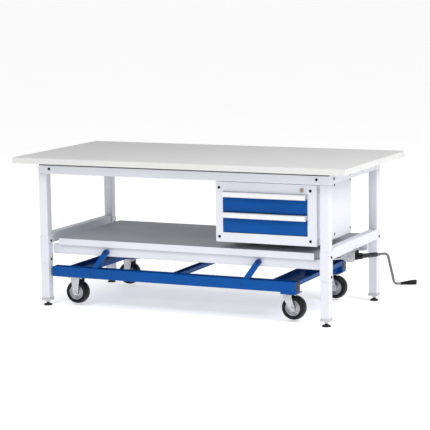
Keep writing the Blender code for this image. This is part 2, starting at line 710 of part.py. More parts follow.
def make_casters():
    half = WHEEL_HALF_WIDTH + FORK_GAP + FORK_WALL
    for face, sign in FACES.items():
        y = sign * WHEEL_Y
        top = CHASSIS_Z[0] - GAP
        half_x, half_y = FIXED_PLATE_HALF
        low = (FIXED_HUB_X - half_x, y - half_y, top - CASTER_PLATE)
        high = (FIXED_HUB_X + half_x, y + half_y, top)
        fixed = add(f"caster_fork_{face}_left", box(low, high, 0.001), ZINC, "chassis")
        make_fork(fixed, FIXED_HUB_X, y, top - CASTER_PLATE / 2, 0)
        top = PAD_Z - GAP
        low = (PAD_X[0], y - half_y, top - CASTER_PLATE)
        high = (PAD_X[1] - 0.006, y + half_y, top)
        caster_plate = add(f"caster_plate_{face}", box(low, high, 0.001), ZINC, "chassis")
        race_low = top - CASTER_PLATE - RACE_HEIGHT
        race_top = top - CASTER_PLATE / 2
        join(caster_plate, cylinder((KINGPIN_X, y, race_low), (KINGPIN_X, y, race_top), RACE_RADIUS, 20))
        crown_top = race_low - GAP
        owner = f"swivel_{face}"
        low = (KINGPIN_X - FORK_HALF, y - half, crown_top - CROWN)
        high = (KINGPIN_X + FORK_HALF, y + half, crown_top)
        fork = add(f"caster_fork_{face}_right", box(low, high), ZINC, owner)
        make_fork(fork, KINGPIN_X, y, crown_top, TRAIL)


def make_wheels():
    half, seat, shoulder = WHEEL_HALF_WIDTH, TYRE_SEAT, TYRE_SHOULDER
    tyre = arc((WHEEL_RADIUS - shoulder, half - shoulder), shoulder, 90, 0, 2)
    tyre += [(radius, -height) for radius, height in reversed(tyre)]
    tyre += [(RIM_RADIUS, -seat), (RIM_RADIUS, seat)]
    bore = AXLE_RADIUS + RUNNING
    hub_end = half + FORK_GAP - GAP
    rim_upper = [
        (bore, hub_end),
        (HUB_RADIUS, hub_end),
        (HUB_RADIUS, DISC_HALF),
        (RIM_RADIUS - RIM_WALL, DISC_HALF),
        (RIM_RADIUS - RIM_WALL, seat),
        (RIM_RADIUS - GAP, seat),
    ]
    rim = rim_upper + [(radius, -height) for radius, height in reversed(rim_upper)]
    for face, sign in FACES.items():
        for end, x in (("left", FIXED_HUB_X), ("right", KINGPIN_X + TRAIL)):
            owner = f"wheel_{face}_{end}"
            place = at(x, sign * WHEEL_Y, HUB_Z) @ Matrix.Rotation(math.radians(90), 4, "X")
            turned(f"tyre_{face}_{end}", tyre, TYRE_RUBBER, owner, place, 28, closed=True)
            turned(f"wheel_rim_{face}_{end}", rim, ZINC, owner, place, 16, closed=True)


def make_bracket():
    """A channel under the right side beam whose ears hold the spindle's trunnion."""
    top = SIDE_BEAM_Z[0] - GAP
    low = (BRACKET_X[0], -BRACKET_Y, top - BRACKET_WALL)
    bracket = add("spindle_bracket", box(low, (BRACKET_X[1], BRACKET_Y, top)), ZINC)
    outline = [
        (BRACKET_X[0], top - BRACKET_WALL / 2),
        (BRACKET_X[0], top - 0.025),
        (SPINDLE_PIVOT.x - 0.014, BRACKET_FOOT_Z),
        (BRACKET_X[1] - 0.010, BRACKET_FOOT_Z),
        (BRACKET_X[1], BRACKET_FOOT_Z + 0.010),
        (BRACKET_X[1], top - BRACKET_WALL / 2),
    ]
    hole = arc((SPINDLE_PIVOT.x, SPINDLE_PIVOT.z), PIVOT_RADIUS + RUNNING, 0, 330, 11)
    for sign in FACES.values():
        place = at(0, sign * (BRACKET_Y - BRACKET_WALL / 2), 0) @ FACING_FRONT
        join(bracket, plate([outline, hole], BRACKET_WALL, place))


def trunnion_block(name, half_x, half_y, half_z, stub, owner, frame):
    """A block with a stub axle at each side and a bore for the spindle."""
    block = add(name, box((-half_x, -half_y, -half_z), (half_x, half_y, half_z)), ZINC, owner, frame)
    join(block, cylinder((0, -stub, 0), (0, stub, 0), PIVOT_RADIUS, 12), frame)
    bore = SPINDLE_RADIUS + RUNNING
    cut(block, cylinder((-half_x - 0.01, 0, 0), (half_x + 0.01, 0, 0), bore, 16), frame)


def make_spindle():
    ear = BRACKET_Y - BRACKET_WALL - GAP
    half_x, half_z = TRUNNION
    trunnion_block("spindle_trunnion", half_x, ear, half_z, TRUNNION_STUB, "trunnion", SPINDLE)
    trunnion_block("spindle_nut", NUT_HALF, NUT_HALF_WIDTH, NUT_HALF, NUT_STUB, "nut", NUT)
    lengthwise = SPINDLE @ Matrix.Rotation(math.radians(90), 4, "Y")
    bore = SPINDLE_RADIUS + RUNNING
    housing = [
        (bore, HOUSING_END),
        (HOUSING_NOSE, HOUSING_END),
        (HOUSING_RADIUS, HOUSING_END - 0.003),
        (HOUSING_RADIUS, half_x + GAP),
        (bore, half_x + GAP),
    ]
    turned("thrust_housing", housing, BLACK_PLASTIC, "trunnion", lengthwise, 16, closed=True)
    thread_end = -NUT_REACH - THREAD_SPARE
    spindle = cylinder((thread_end, 0, 0), (SOCKET_DEPTH_END - GAP, 0, 0), SPINDLE_RADIUS, 16)
    add("lift_spindle", spindle, BRIGHT_STEEL, "crank", SPINDLE)


def bent(corner, before, after, radius, steps):
    """Points round a bend from the direction of before to that of after."""
    corner, before, after = Vector(corner), Vector(before), Vector(after)
    to_before = (before - corner).normalized()
    to_after = (after - corner).normalized()
    half = to_before.angle(to_after) / 2
    along = radius / math.tan(half)
    centre = corner + (to_before + to_after).normalized() * radius / math.sin(half)
    start = corner + to_before * along - centre
    end = corner + to_after * along - centre
    return [centre + radius * start.slerp(end, i / steps) for i in range(steps + 1)]


def make_crank():
    socket_start = HOUSING_END + GAP
    lengthwise = Matrix.Rotation(math.radians(90), 4, "Y")
    tube = cylinder((socket_start, 0, 0), (SOCKET_END, 0, 0), SOCKET_RADIUS, 16)
    socket = add("crank_handle", tube, ZINC, "crank", SPINDLE)
    start = (SOCKET_END - ROD_OVERLAP, 0, 0)
    upper = (CRANK_BEND, 0, 0)
    lower = (CRANK_BEND + CRANK_SPLAY, 0, -CRANK_ARM)
    end = (GRIP_START - 0.001, 0, -CRANK_ARM)
    bends = bent(upper, start, lower, CRANK_EASE, 4) + bent(lower, upper, end, CRANK_EASE, 4)
    join(socket, rod([start, *bends, end], CRANK_RADIUS), SPINDLE)
    pin_root = (GRIP_START - 0.005, 0, -CRANK_ARM)
    pin_end = (GRIP_END + GRIP_HEAD / 2, 0, -CRANK_ARM)
    join(socket, cylinder(pin_root, pin_end, PIN_RADIUS, 12), SPINDLE)
    head = cylinder((GRIP_END, 0, -CRANK_ARM), (GRIP_END + GRIP_HEAD, 0, -CRANK_ARM), GRIP_HEAD_RADIUS)
    join(socket, head, SPINDLE)
    bore = SPINDLE_RADIUS + GAP
    cut(socket, cylinder((socket_start - 0.01, 0, 0), (SOCKET_DEPTH_END, 0, 0), bore, 16), SPINDLE)
    hole = PIN_RADIUS + RUNNING
    start, end = GRIP_START + GAP, GRIP_END - GAP
    profile = [
        (hole, end),
        (GRIP_NOSE, end),
        (GRIP_RADIUS, end - 0.006),
        (GRIP_RADIUS - 0.001, (start + 2 * end) / 3),
        (GRIP_WAIST + 0.001, start + 0.010),
        (GRIP_WAIST, start),
        (hole, start),
    ]
    turned("crank_grip", profile, BLACK_PLASTIC, "grip", GRIP @ lengthwise, ROUND_SIDES, closed=True)


make_bodies()
make_worktop()
make_rails()
make_legs()
make_feet()
make_beams()
make_shelf()
make_cabinet()
make_runners()
make_drawers()
make_lock()
make_chassis()
make_arms()
make_casters()
make_wheels()
make_bracket()
make_spindle()
make_crank()

for obj in PARTS.objects:
    if obj.type == "MESH":
        obj.data.shade_smooth()
        obj.data.set_sharp_from_angle(angle=math.radians(30))
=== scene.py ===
# %% [markdown]
# # A workbench with two drawers that drops onto casters
# The bench stands on four levelling feet. Under its shelf hangs a blue chassis on four casters, and a crank
# at the right end lowers it until the wheels carry the bench. This lesson dresses the plain working model in
# its real surfaces: coated steel tubes, pressed steel wheels, rubber, zinc and a laminated board.

# %% Load the working model
import json
import math

import bmesh
import bpy
import numpy as np
from mathutils import Matrix, Vector


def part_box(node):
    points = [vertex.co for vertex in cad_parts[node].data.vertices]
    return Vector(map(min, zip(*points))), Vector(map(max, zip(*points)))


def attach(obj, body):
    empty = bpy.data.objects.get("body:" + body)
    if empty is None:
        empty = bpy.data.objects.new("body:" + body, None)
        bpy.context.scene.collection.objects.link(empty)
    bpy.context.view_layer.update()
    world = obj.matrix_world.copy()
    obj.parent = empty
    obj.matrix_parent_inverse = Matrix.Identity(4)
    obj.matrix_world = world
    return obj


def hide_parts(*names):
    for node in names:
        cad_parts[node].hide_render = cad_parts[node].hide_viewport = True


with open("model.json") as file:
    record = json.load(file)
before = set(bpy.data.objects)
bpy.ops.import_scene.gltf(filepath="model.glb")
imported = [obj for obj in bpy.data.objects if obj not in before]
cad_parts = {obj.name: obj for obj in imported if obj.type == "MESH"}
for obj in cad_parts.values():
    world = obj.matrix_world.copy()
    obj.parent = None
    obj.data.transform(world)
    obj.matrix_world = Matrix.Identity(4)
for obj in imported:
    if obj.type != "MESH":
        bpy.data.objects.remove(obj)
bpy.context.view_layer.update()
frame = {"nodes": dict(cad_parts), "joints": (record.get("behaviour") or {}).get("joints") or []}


# %% [markdown]
# ## Where things are
# Nothing here is placed by eye. Each node of the working model gives its own box, and the joints give the
# axes that things turn about, so a new piece lands where the steel already is. Lengths are in metres, and X
# is counted from the middle of the worktop by adding MIDDLE.

# %% Boxes and joints
def span(node):
    """The lowest and highest corner of a node of the working model, as arrays."""
    low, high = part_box(node)
    return np.array(low), np.array(high)


JOINTS = {joint["name"]: joint for joint in frame["joints"]}
TOP_LOW, TOP_HIGH = span("worktop")
MIDDLE = (TOP_LOW[0] + TOP_HIGH[0]) / 2
ENDS = {"left": -1, "right": 1}
FACES = {"front": -1, "back": 1}
print("worktop", np.round(TOP_HIGH - TOP_LOW, 4), "middle at X", round(MIDDLE, 4))


def pivot(name):
    """The point that a hinge turns about."""
    return np.array(JOINTS[name]["pos_m"])


# %% [markdown]
# ## Outlines
# Most of the bench is bent, cut or rolled steel: one outline carried along a line. An outline is drawn by its
# corners and every corner is then rounded, as a press brake or a tube mill would round it. Drawing corners
# and rounding them by formula keeps the drawing short and the bends true.

# %% Round the corners of an outline
def eased(corners, radius, steps=4, closed=True):
    """A polyline with its corners turned into arcs. Each arc is centre + radius times a unit vector that
    turns evenly from one leg's normal to the next one's. A closed outline rounds every corner, an open one
    keeps its two ends."""
    corners = np.asarray(corners, float)
    before, after = np.roll(corners, 1, axis=0), np.roll(corners, -1, axis=0)
    into, out = corners - before, after - corners
    into /= np.linalg.norm(into, axis=1)[:, None]
    out /= np.linalg.norm(out, axis=1)[:, None]
    if not closed:
        into, out, middle = into[1:-1], out[1:-1], corners[1:-1]
    else:
        middle = corners
    half = np.arccos(np.clip((into * out).sum(1), -1, 1)) / 2
    bisector = out - into
    bisector /= np.linalg.norm(bisector, axis=1)[:, None]
    centre = middle + bisector * (radius / np.cos(half))[:, None]
    reach = (radius * np.tan(half))[:, None]
    first = (middle - into * reach - centre) / radius
    last = (middle + out * reach - centre) / radius
    share = np.linspace(0, 1, steps + 1)[None, :, None]
    turn = (2 * half)[:, None, None]
    weights = np.sin((1 - share) * turn) * first[:, None] + np.sin(share * turn) * last[:, None]
    arcs = (centre[:, None] + radius * weights / np.sin(turn)).reshape(-1, corners.shape[1])
    return arcs if closed else np.concatenate([corners[:1], arcs, corners[-1:]])


def rectangle(low, high, radius=0.003, steps=4):
    """A rounded rectangle between two corners, counter-clockwise."""
    (x0, y0), (x1, y1) = low, high
    return eased([(x0, y0), (x1, y0), (x1, y1), (x0, y1)], radius, steps)


def outward(loop):
    """Unit normals of a closed outline: the chord between a point's neighbours, turned a quarter outwards."""
    chord = np.roll(loop, -1, axis=0) - np.roll(loop, 1, axis=0)
    normal = np.stack([chord[:, 1], -chord[:, 0]], axis=1)
    normal /= np.linalg.norm(normal, axis=1)[:, None]
    x, y = loop.T
    area = (x * np.roll(y, -1) - np.roll(x, -1) * y).sum()
    return normal * np.sign(area)


def folded(path, wall):
    """A sheet of even thickness seen from its edge: the path moved half a wall to each side, out and back."""
    run = np.gradient(path, axis=0)
    side = np.stack([-run[:, 1], run[:, 0]], axis=1)
    side *= wall / 2 / np.linalg.norm(side, axis=1)[:, None]
    return np.concatenate([path + side, (path - side)[::-1]])


# %% [markdown]
# ## Surfaces
# A surface is a grid of points: one direction runs along the outline and the other along the line or round
# the axis that carries it. The whole grid is worked out at once as an array, and the faces follow from the
# grid's shape. A lathe, a rolling mill and a plane need only three such rules.

# %% Grids of points and their faces
AXES = {"x": (1, 2, 0), "y": (0, 2, 1), "z": (0, 1, 2)}  # where an outline's two numbers and its run go


def woven(grid, ring=True, closed=False, caps=True):
    """A grid of points as (points, faces): four neighbours make a face. ring joins the last column to the
    first, closed joins the last row to the first, and caps fill the first and last rows."""
    rows, columns = grid.shape[:2]
    row = np.arange(rows if closed else rows - 1)[:, None]
    column = np.arange(columns if ring else columns - 1)[None]
    next_row, next_column = (row + 1) % rows, (column + 1) % columns
    corners = (
        row * columns + column,
        row * columns + next_column,
        next_row * columns + next_column,
        next_row * columns + column,
    )
    faces = np.stack(corners, axis=-1).reshape(-1, 4).tolist()
    if caps and not closed:
        faces += [list(range(columns)), list(range((rows - 1) * columns, rows * columns))]
    return grid.reshape(-1, 3), faces


def carried(loop, start, end, along, ease=0.0008):
    """An outline carried straight along an axis. Its ends are rounded: at angle a the outline is drawn in by
    ease(1 - sin a) and stands ease(1 - cos a) back from the end."""
    angle = np.radians([0, 30, 60, 90])
    inset, back = ease * (1 - np.sin(angle)), ease * (1 - np.cos(angle))
    inset = np.concatenate([inset, inset[::-1]])
    run = np.concatenate([start + back, end - back[::-1]])
    u, v, w = AXES[along]
    grid = np.empty((len(run), len(loop), 3))
    grid[..., [u, v]] = loop[None] - inset[:, None, None] * outward(loop)[None]
    grid[..., w] = run[:, None]
    return woven(grid)


def block(low, high, along="z", radius=0.003, ease=0.0008, steps=4):
    """A rounded bar that fills the box between two corners."""
    low, high = np.asarray(low, float), np.asarray(high, float)
    u, v, w = AXES[along]
    return carried(rectangle(low[[u, v]], high[[u, v]], radius, steps), low[w], high[w], along, ease)


def across(axis):
    """Two unit vectors square to an axis and to each other."""
    axis = np.asarray(axis, float) / np.linalg.norm(axis)
    guide = np.array([0, 1.0, 0]) if abs(axis[1]) < 0.9 else np.array([0, 0, 1.0])
    first = np.cross(guide, axis)
    first /= np.linalg.norm(first)
    return first, np.cross(axis, first), axis


def turned(profile, centre, axis, steps=48, closed=False, sides=0, hexed=()):
    """A lathe: a point of the profile at radius r and height h goes to centre + r(cos t u + sin t v) + h
    axis. The rows in hexed are cut to a regular polygon instead: there r is divided by cos of the angle to the
    nearest flat's middle, so that r is the distance to a flat."""
    profile = np.asarray(profile, float)
    first, second, axis = across(axis)
    t = np.arange(steps) * 2 * np.pi / steps
    radius = np.repeat(profile[:, :1], steps, axis=1)
    if sides:
        flat = 2 * np.pi / sides
        from_middle = (t + flat / 2) % flat - flat / 2
        radius[list(hexed)] /= np.cos(from_middle)
    grid = (
        np.asarray(centre, float)
        + radius[..., None] * (np.cos(t)[:, None] * first + np.sin(t)[:, None] * second)
        + profile[:, 1][:, None, None] * axis
    )
    return woven(grid, closed=closed, caps=not closed)


def ringed(loops):
    """Closed outlines stacked into a ring with a hole: each is a row, and the last meets the first."""
    return woven(np.stack(loops), closed=True)


# %% [markdown]
# ## From surfaces to a piece
# A piece of the bench can be several surfaces, such as a bolt's head and its washer. They are joined into one
# mesh, doubled points are welded, the normals are turned outwards, and the piece is shaded smooth with its
# sharp edges kept. Then it is hung on the body that carries it.

# %% Make a piece
SHARP = math.radians(32)


def piece(name, surfaces, finish, owner, nodes=()):
    """Builds one named piece from its surfaces, gives it its finish and hangs it on its body."""
    shape = bmesh.new()
    for points, faces in surfaces:
        part = bpy.data.meshes.new("surface")
        part.from_pydata(points.tolist(), [], faces)
        lone = bmesh.new()
        lone.from_mesh(part)
        bmesh.ops.remove_doubles(lone, verts=lone.verts, dist=1e-6)
        bmesh.ops.recalc_face_normals(lone, faces=lone.faces)
        lone.to_mesh(part)
        lone.free()
        shape.from_mesh(part)
        bpy.data.meshes.remove(part)
    mesh = bpy.data.meshes.new(name)
    shape.to_mesh(mesh)
    shape.free()
    mesh.materials.append(finish)
    mesh.shade_smooth()
    mesh.set_sharp_from_angle(angle=SHARP)
    obj = bpy.data.objects.new(name, mesh)
    bpy.context.scene.collection.objects.link(obj)
    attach(obj, owner)
    if nodes:
        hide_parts(*nodes)
    return obj


# %% [markdown]
# ## How a finish is put together
# Each finish is one shader with a few textures on Object coordinates, so its grain has a real size in metres
# and stays with the piece when it moves. Numbers that are the same all over sit on the shader itself. What
# varies, such as the cast of a coat or the roughness of rubber, comes from noise.

# %% Helpers for a finish
def finish_of(name, roughness=0.4, metallic=0.0, coat=0.0, specular=0.5):
    """A new material, its node tree and its shader, with the shader's even numbers set."""
    made = bpy.data.materials.new(name)
    made.use_nodes = True
    shader = made.node_tree.nodes["Principled BSDF"]
    shader.inputs["Roughness"].default_value = roughness
    shader.inputs["Metallic"].default_value = metallic
    shader.inputs["Coat Weight"].default_value = coat
    shader.inputs["Coat Roughness"].default_value = 0.15
    shader.inputs["Specular IOR Level"].default_value = specular
    return made, made.node_tree, shader


def noise(tree, size, detail=2.0, stretch=(1, 1, 1), kind="noise"):
    """A grain of one size in metres, stretched by sizes along the axes. Returns its value from 0 to 1."""
    place = tree.nodes.new("ShaderNodeTexCoord")
    mapping = tree.nodes.new("ShaderNodeMapping")
    mapping.inputs["Scale"].default_value = [1 / (size * s) for s in stretch]
    tree.links.new(place.outputs["Object"], mapping.inputs["Vector"])
    if kind == "cells":
        texture = tree.nodes.new("ShaderNodeTexVoronoi")
        texture.inputs["Scale"].default_value = 1
        value = texture.outputs["Color"]
    else:
        texture = tree.nodes.new("ShaderNodeTexNoise")
        texture.inputs["Scale"].default_value = 1
        texture.inputs["Detail"].default_value = detail
        value = texture.outputs["Fac"]
    tree.links.new(mapping.outputs["Vector"], texture.inputs["Vector"])
    return value


def spread(tree, value, low, high, start=0.3, end=0.7):
    """Moves a value's middle range to the range from low to high."""
    node = tree.nodes.new("ShaderNodeMapRange")
    node.inputs["From Min"].default_value = start
    node.inputs["From Max"].default_value = end
    node.inputs["To Min"].default_value = low
    node.inputs["To Max"].default_value = high
    tree.links.new(value, node.inputs["Value"])
    return node.outputs["Result"]


def between(tree, value, first, second, start=0.3, end=0.7):
    """A colour that goes from first to second as the value rises."""
    node = tree.nodes.new("ShaderNodeValToRGB")
    node.color_ramp.elements[0].position = start
    node.color_ramp.elements[1].position = end
    node.color_ramp.elements[0].color = (*first, 1)
    node.color_ramp.elements[1].color = (*second, 1)
    tree.links.new(value, node.inputs["Fac"])
    return node.outputs["Color"]


def raised(tree, shader, value, depth, strength=1.0):
    """Lets a value lift the surface by up to depth metres."""
    node = tree.nodes.new("ShaderNodeBump")
    node.inputs["Strength"].default_value = strength
    node.inputs["Distance"].default_value = depth
    tree.links.new(value, node.inputs["Height"])
    if shader.inputs["Normal"].links:
        tree.links.new(shader.inputs["Normal"].links[0].from_socket, node.inputs["Normal"])
    tree.links.new(node.outputs["Normal"], shader.inputs["Normal"])


def shade(colour, factor):
    """A colour made darker or lighter by one factor."""
    return tuple(min(channel * factor, 1) for channel in colour)


# %% [markdown]
# ## Powder coat
# The frame and the cabinet are sprayed with white powder and baked, and the chassis with blue. Baked powder
# has orange peel, a soft ripple about a millimetre across, and never quite one tone. A fine bump gives the
# ripple, and a slow noise shifts the tone by a few parts in a hundred.

# %% White and blue coats
WHITE = (0.70, 0.715, 0.775)
BLUE = (0.002, 0.074, 0.310)


def powder_coat(name, colour, roughness, drift=0.03, specular=0.4):
    """A baked coat: one colour that drifts slowly by a small share, with a fine ripple."""
    made, tree, shader = finish_of(name, roughness, specular=specular)
    cloud = noise(tree, 0.23, detail=3)
    tone = between(tree, cloud, shade(colour, 1 - drift), shade(colour, 1 + drift))
    tree.links.new(tone, shader.inputs["Base Color"])
    peel = noise(tree, 0.0013, detail=1)
    raised(tree, shader, peel, 0.00005, 0.6)
    tree.links.new(spread(tree, cloud, roughness - 0.05, roughness + 0.06), shader.inputs["Roughness"])
    return made


WHITE_COAT = powder_coat("white_powder_coat", WHITE, 0.38)
BLUE_COAT = powder_coat("blue_powder_coat", BLUE, 0.36, drift=0.06, specular=0.10)
# A grey coat made dark to paint the shade that falls on the shelf under the worktop; the drawer boxes wear it
# too.
SHADE_DARKENED_GREY_COAT = powder_coat("grey_tray_coat", (0.285, 0.300, 0.335), 0.40)


# %% [markdown]
# ## Laminate and board
# The worktop is chipboard between two sheets of laminate, with a plastic band glued round its edge. Laminate
# is satin, with a fine speckle printed in it and a faint texture pressed into it. The band is a little
# lighter than the sheet, as it is on the real board.

# %% Laminate, edge band and packing
def laminate():
    """Satin laminate with a printed speckle and a pressed texture."""
    made, tree, shader = finish_of("grey_laminate", 0.42)
    speck = noise(tree, 0.0011, detail=4)
    tone = between(tree, speck, (0.590, 0.590, 0.592), (0.665, 0.665, 0.665), 0.35, 0.6)
    tree.links.new(tone, shader.inputs["Base Color"])
    raised(tree, shader, noise(tree, 0.0006), 0.00003, 0.5)
    tree.links.new(spread(tree, noise(tree, 0.31), 0.38, 0.50), shader.inputs["Roughness"])
    return made


def plastic(name, light, dark, roughness, grain=0.0009, depth=0.00004, coat=0.0, specular=0.4):
    """Moulded or extruded plastic: a slight mottle and a fine spark-eroded grain."""
    made, tree, shader = finish_of(name, roughness, coat=coat, specular=specular)
    tree.links.new(between(tree, noise(tree, 0.03, 3), dark, light), shader.inputs["Base Color"])
    raised(tree, shader, noise(tree, grain), depth, 0.6)
    wear = spread(tree, noise(tree, 0.05), roughness - 0.04, roughness + 0.07)
    tree.links.new(wear, shader.inputs["Roughness"])
    return made


LAMINATE = laminate()
EDGE_BAND = plastic("edge_band", (0.68, 0.68, 0.665), (0.655, 0.655, 0.64), 0.40)
PACKING = plastic("dark_packing", (0.050, 0.050, 0.055), (0.035, 0.035, 0.040), 0.75, 0.002, 0.0001)
FOOT_CAP = plastic("pale_cap_plastic", (0.52, 0.52, 0.53), (0.49, 0.49, 0.50), 0.45)
BLACK_PLASTIC = plastic("black_plastic", (0.009, 0.009, 0.010), (0.005, 0.005, 0.006), 0.34, specular=0.18)
LABEL = plastic("label_cover", (0.80, 0.80, 0.80), (0.76, 0.76, 0.77), 0.18, coat=0.5)


# %% [markdown]
# ## Metals
# Brackets, forks and rims are zinc plated: the plate is dull silver with a cell-like spangle. Bolts are
# blackened, and the spindle is bright turned steel, whose fine rings run round it. Rubber is nearly black,
# matt on the tread and a little polished where it has been handled.

# %% Zinc, steel, black bolts, rubber
def zinc():
    """Dull zinc whose cells differ in tone and gloss."""
    made, tree, shader = finish_of("zinc_plate", 0.34, metallic=0.92)
    cells = noise(tree, 0.006, kind="cells")
    tone = between(tree, cells, (0.38, 0.39, 0.41), (0.62, 0.63, 0.65), 0.1, 0.9)
    tree.links.new(tone, shader.inputs["Base Color"])
    tree.links.new(spread(tree, cells, 0.26, 0.44, 0.1, 0.9), shader.inputs["Roughness"])
    raised(tree, shader, noise(tree, 0.002, 3), 0.00006, 0.5)
    return made


def steel(name, light, dark, roughness, stretch, metallic=1.0, grain=0.0012):
    """Steel or nickel with a drawn or turned grain, long along the axes where stretch is large."""
    made, tree, shader = finish_of(name, roughness, metallic=metallic)
    lines = noise(tree, grain, 3, stretch)
    tree.links.new(between(tree, lines, dark, light), shader.inputs["Base Color"])
    tree.links.new(spread(tree, lines, roughness - 0.06, roughness + 0.10), shader.inputs["Roughness"])
    raised(tree, shader, lines, 0.00004, 0.4)
    return made


def rubber():
    """Nearly black rubber, dusty in places, with a fine grain."""
    made, tree, shader = finish_of("tyre_rubber", 0.40, specular=0.22)
    dust = noise(tree, 0.018, 4)
    tone = between(tree, dust, (0.005, 0.005, 0.006), (0.012, 0.012, 0.013))
    tree.links.new(tone, shader.inputs["Base Color"])
    tree.links.new(spread(tree, dust, 0.30, 0.50), shader.inputs["Roughness"])
    raised(tree, shader, noise(tree, 0.0016, 3), 0.00012, 0.6)
    return made


ZINC = zinc()
BRIGHT_STEEL = steel("bright_steel", (0.66, 0.66, 0.68), (0.50, 0.50, 0.52), 0.22, (1, 14, 14))
DARK_STEEL = steel("dark_bent_steel", (0.26, 0.26, 0.27), (0.15, 0.15, 0.16), 0.30, (6, 6, 6), 0.9)
BLACK_BOLT = plastic("black_oxide", (0.008, 0.008, 0.009), (0.004, 0.004, 0.005), 0.36, 0.0006, 0.00003,
                     specular=0.16)
BLACK_STEEL = steel("blackened_steel", (0.085, 0.087, 0.095), (0.030, 0.030, 0.034), 0.20, (6, 6, 6), 0.9)
BRASS_NICKEL = steel("worn_nickel_on_brass", (0.46, 0.38, 0.27), (0.34, 0.29, 0.23), 0.26, (1, 1, 1))
RUBBER = rubber()


# %% [markdown]
# ## Finish the steel that is kept
# Many parts of the working model already have their true shape, such as folded channels and the cabinet's
# casing. They keep their meshes and get the finishes above, listed node by node.

# %% Dress the kept nodes
def dress(finish, *nodes):
    """Gives kept nodes of the working model a finish."""
    for name in nodes:
        mesh = frame["nodes"][name].data
        mesh.materials.clear()
        mesh.materials.append(finish)


dress(WHITE_COAT, "cabinet_shell", "side_beam_left", "side_beam_right")
dress(PACKING, "worktop_packing")
dress(SHADE_DARKENED_GREY_COAT, "drawer_upper_box", "drawer_lower_box")
dress(BLUE_COAT, "chassis_cross_left", "chassis_cross_middle", "chassis_cross_right")
dress(ZINC, "drawer_runner_left", "drawer_runner_right", "spindle_bracket", "spindle_trunnion", "spindle_nut")
dress(ZINC, "caster_plate_front", "caster_plate_back")


# %% [markdown]
# ## Worktop
# The board lies on the frame with a dark packing strip between. Its edge band is a thin ring with both outer
# edges scraped round after gluing. Making the board and the band as two pieces gives the fine line where they
# meet, which a texture would have to fake.

# %% Board and edge band
BAND = 0.002
BAND_ROUND = 0.0015


def at_height(loop, height):
    """An outline in X and Y laid flat at a height."""
    return np.column_stack([loop, np.full(len(loop), height)])


def band_ring(low, high, band, ease):
    """The band's section carried round the board: out at the bottom, up with both edges rounded, and back in.
    At angle a, an edge point is ease(1 - sin a) in and ease(1 - cos a) from the top or bottom."""
    angle = np.radians(np.linspace(0, 90, 5))
    inset = ease * (1 - np.sin(angle))
    rise = ease * (1 - np.cos(angle))
    insets = np.concatenate([[band], inset, inset[::-1], [band]])
    heights = np.concatenate([[low[2]], low[2] + rise, high[2] - rise[::-1], [high[2]]])
    sizes = (rectangle(low[:2] + i, high[:2] - i, 0.004 - min(i, 0.003)) for i in insets)
    return ringed([at_height(loop, height) for loop, height in zip(sizes, heights)])


INSIDE = np.array([BAND, BAND, 0])
board = block(TOP_LOW + INSIDE, TOP_HIGH - INSIDE, "z", 0.002, 0.0003)
piece("worktop_board", [board], LAMINATE, "bench", ["worktop"])
edge_band = band_ring(TOP_LOW, TOP_HIGH, BAND, BAND_ROUND)
piece("worktop_edge_band", [edge_band], EDGE_BAND, "bench")
print("band", BAND * 1000, "mm thick round", np.round(TOP_HIGH - TOP_LOW, 3))


# %% [markdown]
# ## Rails
# Four square tubes make a flat frame on top of the legs. Cold-rolled tube has an outer corner of about one
# and a half times its wall, so 3 mm here. Only the outside of a tube shows, so each is drawn as a bar with
# rounded corners and closed ends.

# %% Top rails
TUBE_CORNER = 0.003
TUBE_END_EASE = 0.0012

for where, along in (("front", "x"), ("back", "x"), ("left", "y"), ("right", "y")):
    node = f"top_rail_{where}"
    tube = block(*span(node), along, TUBE_CORNER, TUBE_END_EASE)
    piece(f"{where}_top_rail", [tube], WHITE_COAT, "bench", [node])
print("rails", [round(float(side), 3) for side in span("top_rail_front")[1] - span("top_rail_front")[0]])


# %% [markdown]
# ## Legs
# Each leg is a tube with a sleeve bolted over it halfway and a ribbed tube below, ending in a plastic cap.
# The ribbed tube is a square outline whose faces dip at two grooves. The dip at a distance s from a face's
# middle is depth times the sum of exp(-((s - groove) / width)^2), so it fades smoothly into the flat.

# %% Leg outline with grooves
GROOVES = np.array([-0.0085, 0.0085])
GROOVE_WIDTH = 0.0022
GROOVE_DEPTH = 0.0013
FACE_STEPS = 44


def grooved_square(half, radius):
    """A square outline, finely divided, with its two grooves on each face and rounded corners between."""
    flat = half - radius
    along = np.linspace(-flat, flat, FACE_STEPS)
    dip = GROOVE_DEPTH * np.exp(-(((along[:, None] - GROOVES) / GROOVE_WIDTH) ** 2)).sum(axis=1)
    angle = np.radians(np.linspace(0, 90, 6)[1:-1])
    face = np.column_stack([half - dip, along])
    corner = flat + radius * np.column_stack([np.cos(angle), np.sin(angle)])
    quarter = np.concatenate([face, corner])
    turns = [
        np.array([[math.cos(q), math.sin(q)], [-math.sin(q), math.cos(q)]])
        for q in np.radians([0, 90, 180, 270])
    ]
    return np.concatenate([quarter @ turn for turn in turns])


# %% [markdown]
# ## Legs, put together
# The sleeve stands 3 mm proud with softened rims. The cap closes the tube's end, where the foot screws in.

# %% Four legs
SLEEVE_Z = (0.250, 0.405)
CAP_TOP = 0.045
SLEEVE_STEP = 0.003
SLEEVE_OVERLAP = 0.002
CAP_OVERLAP = 0.004


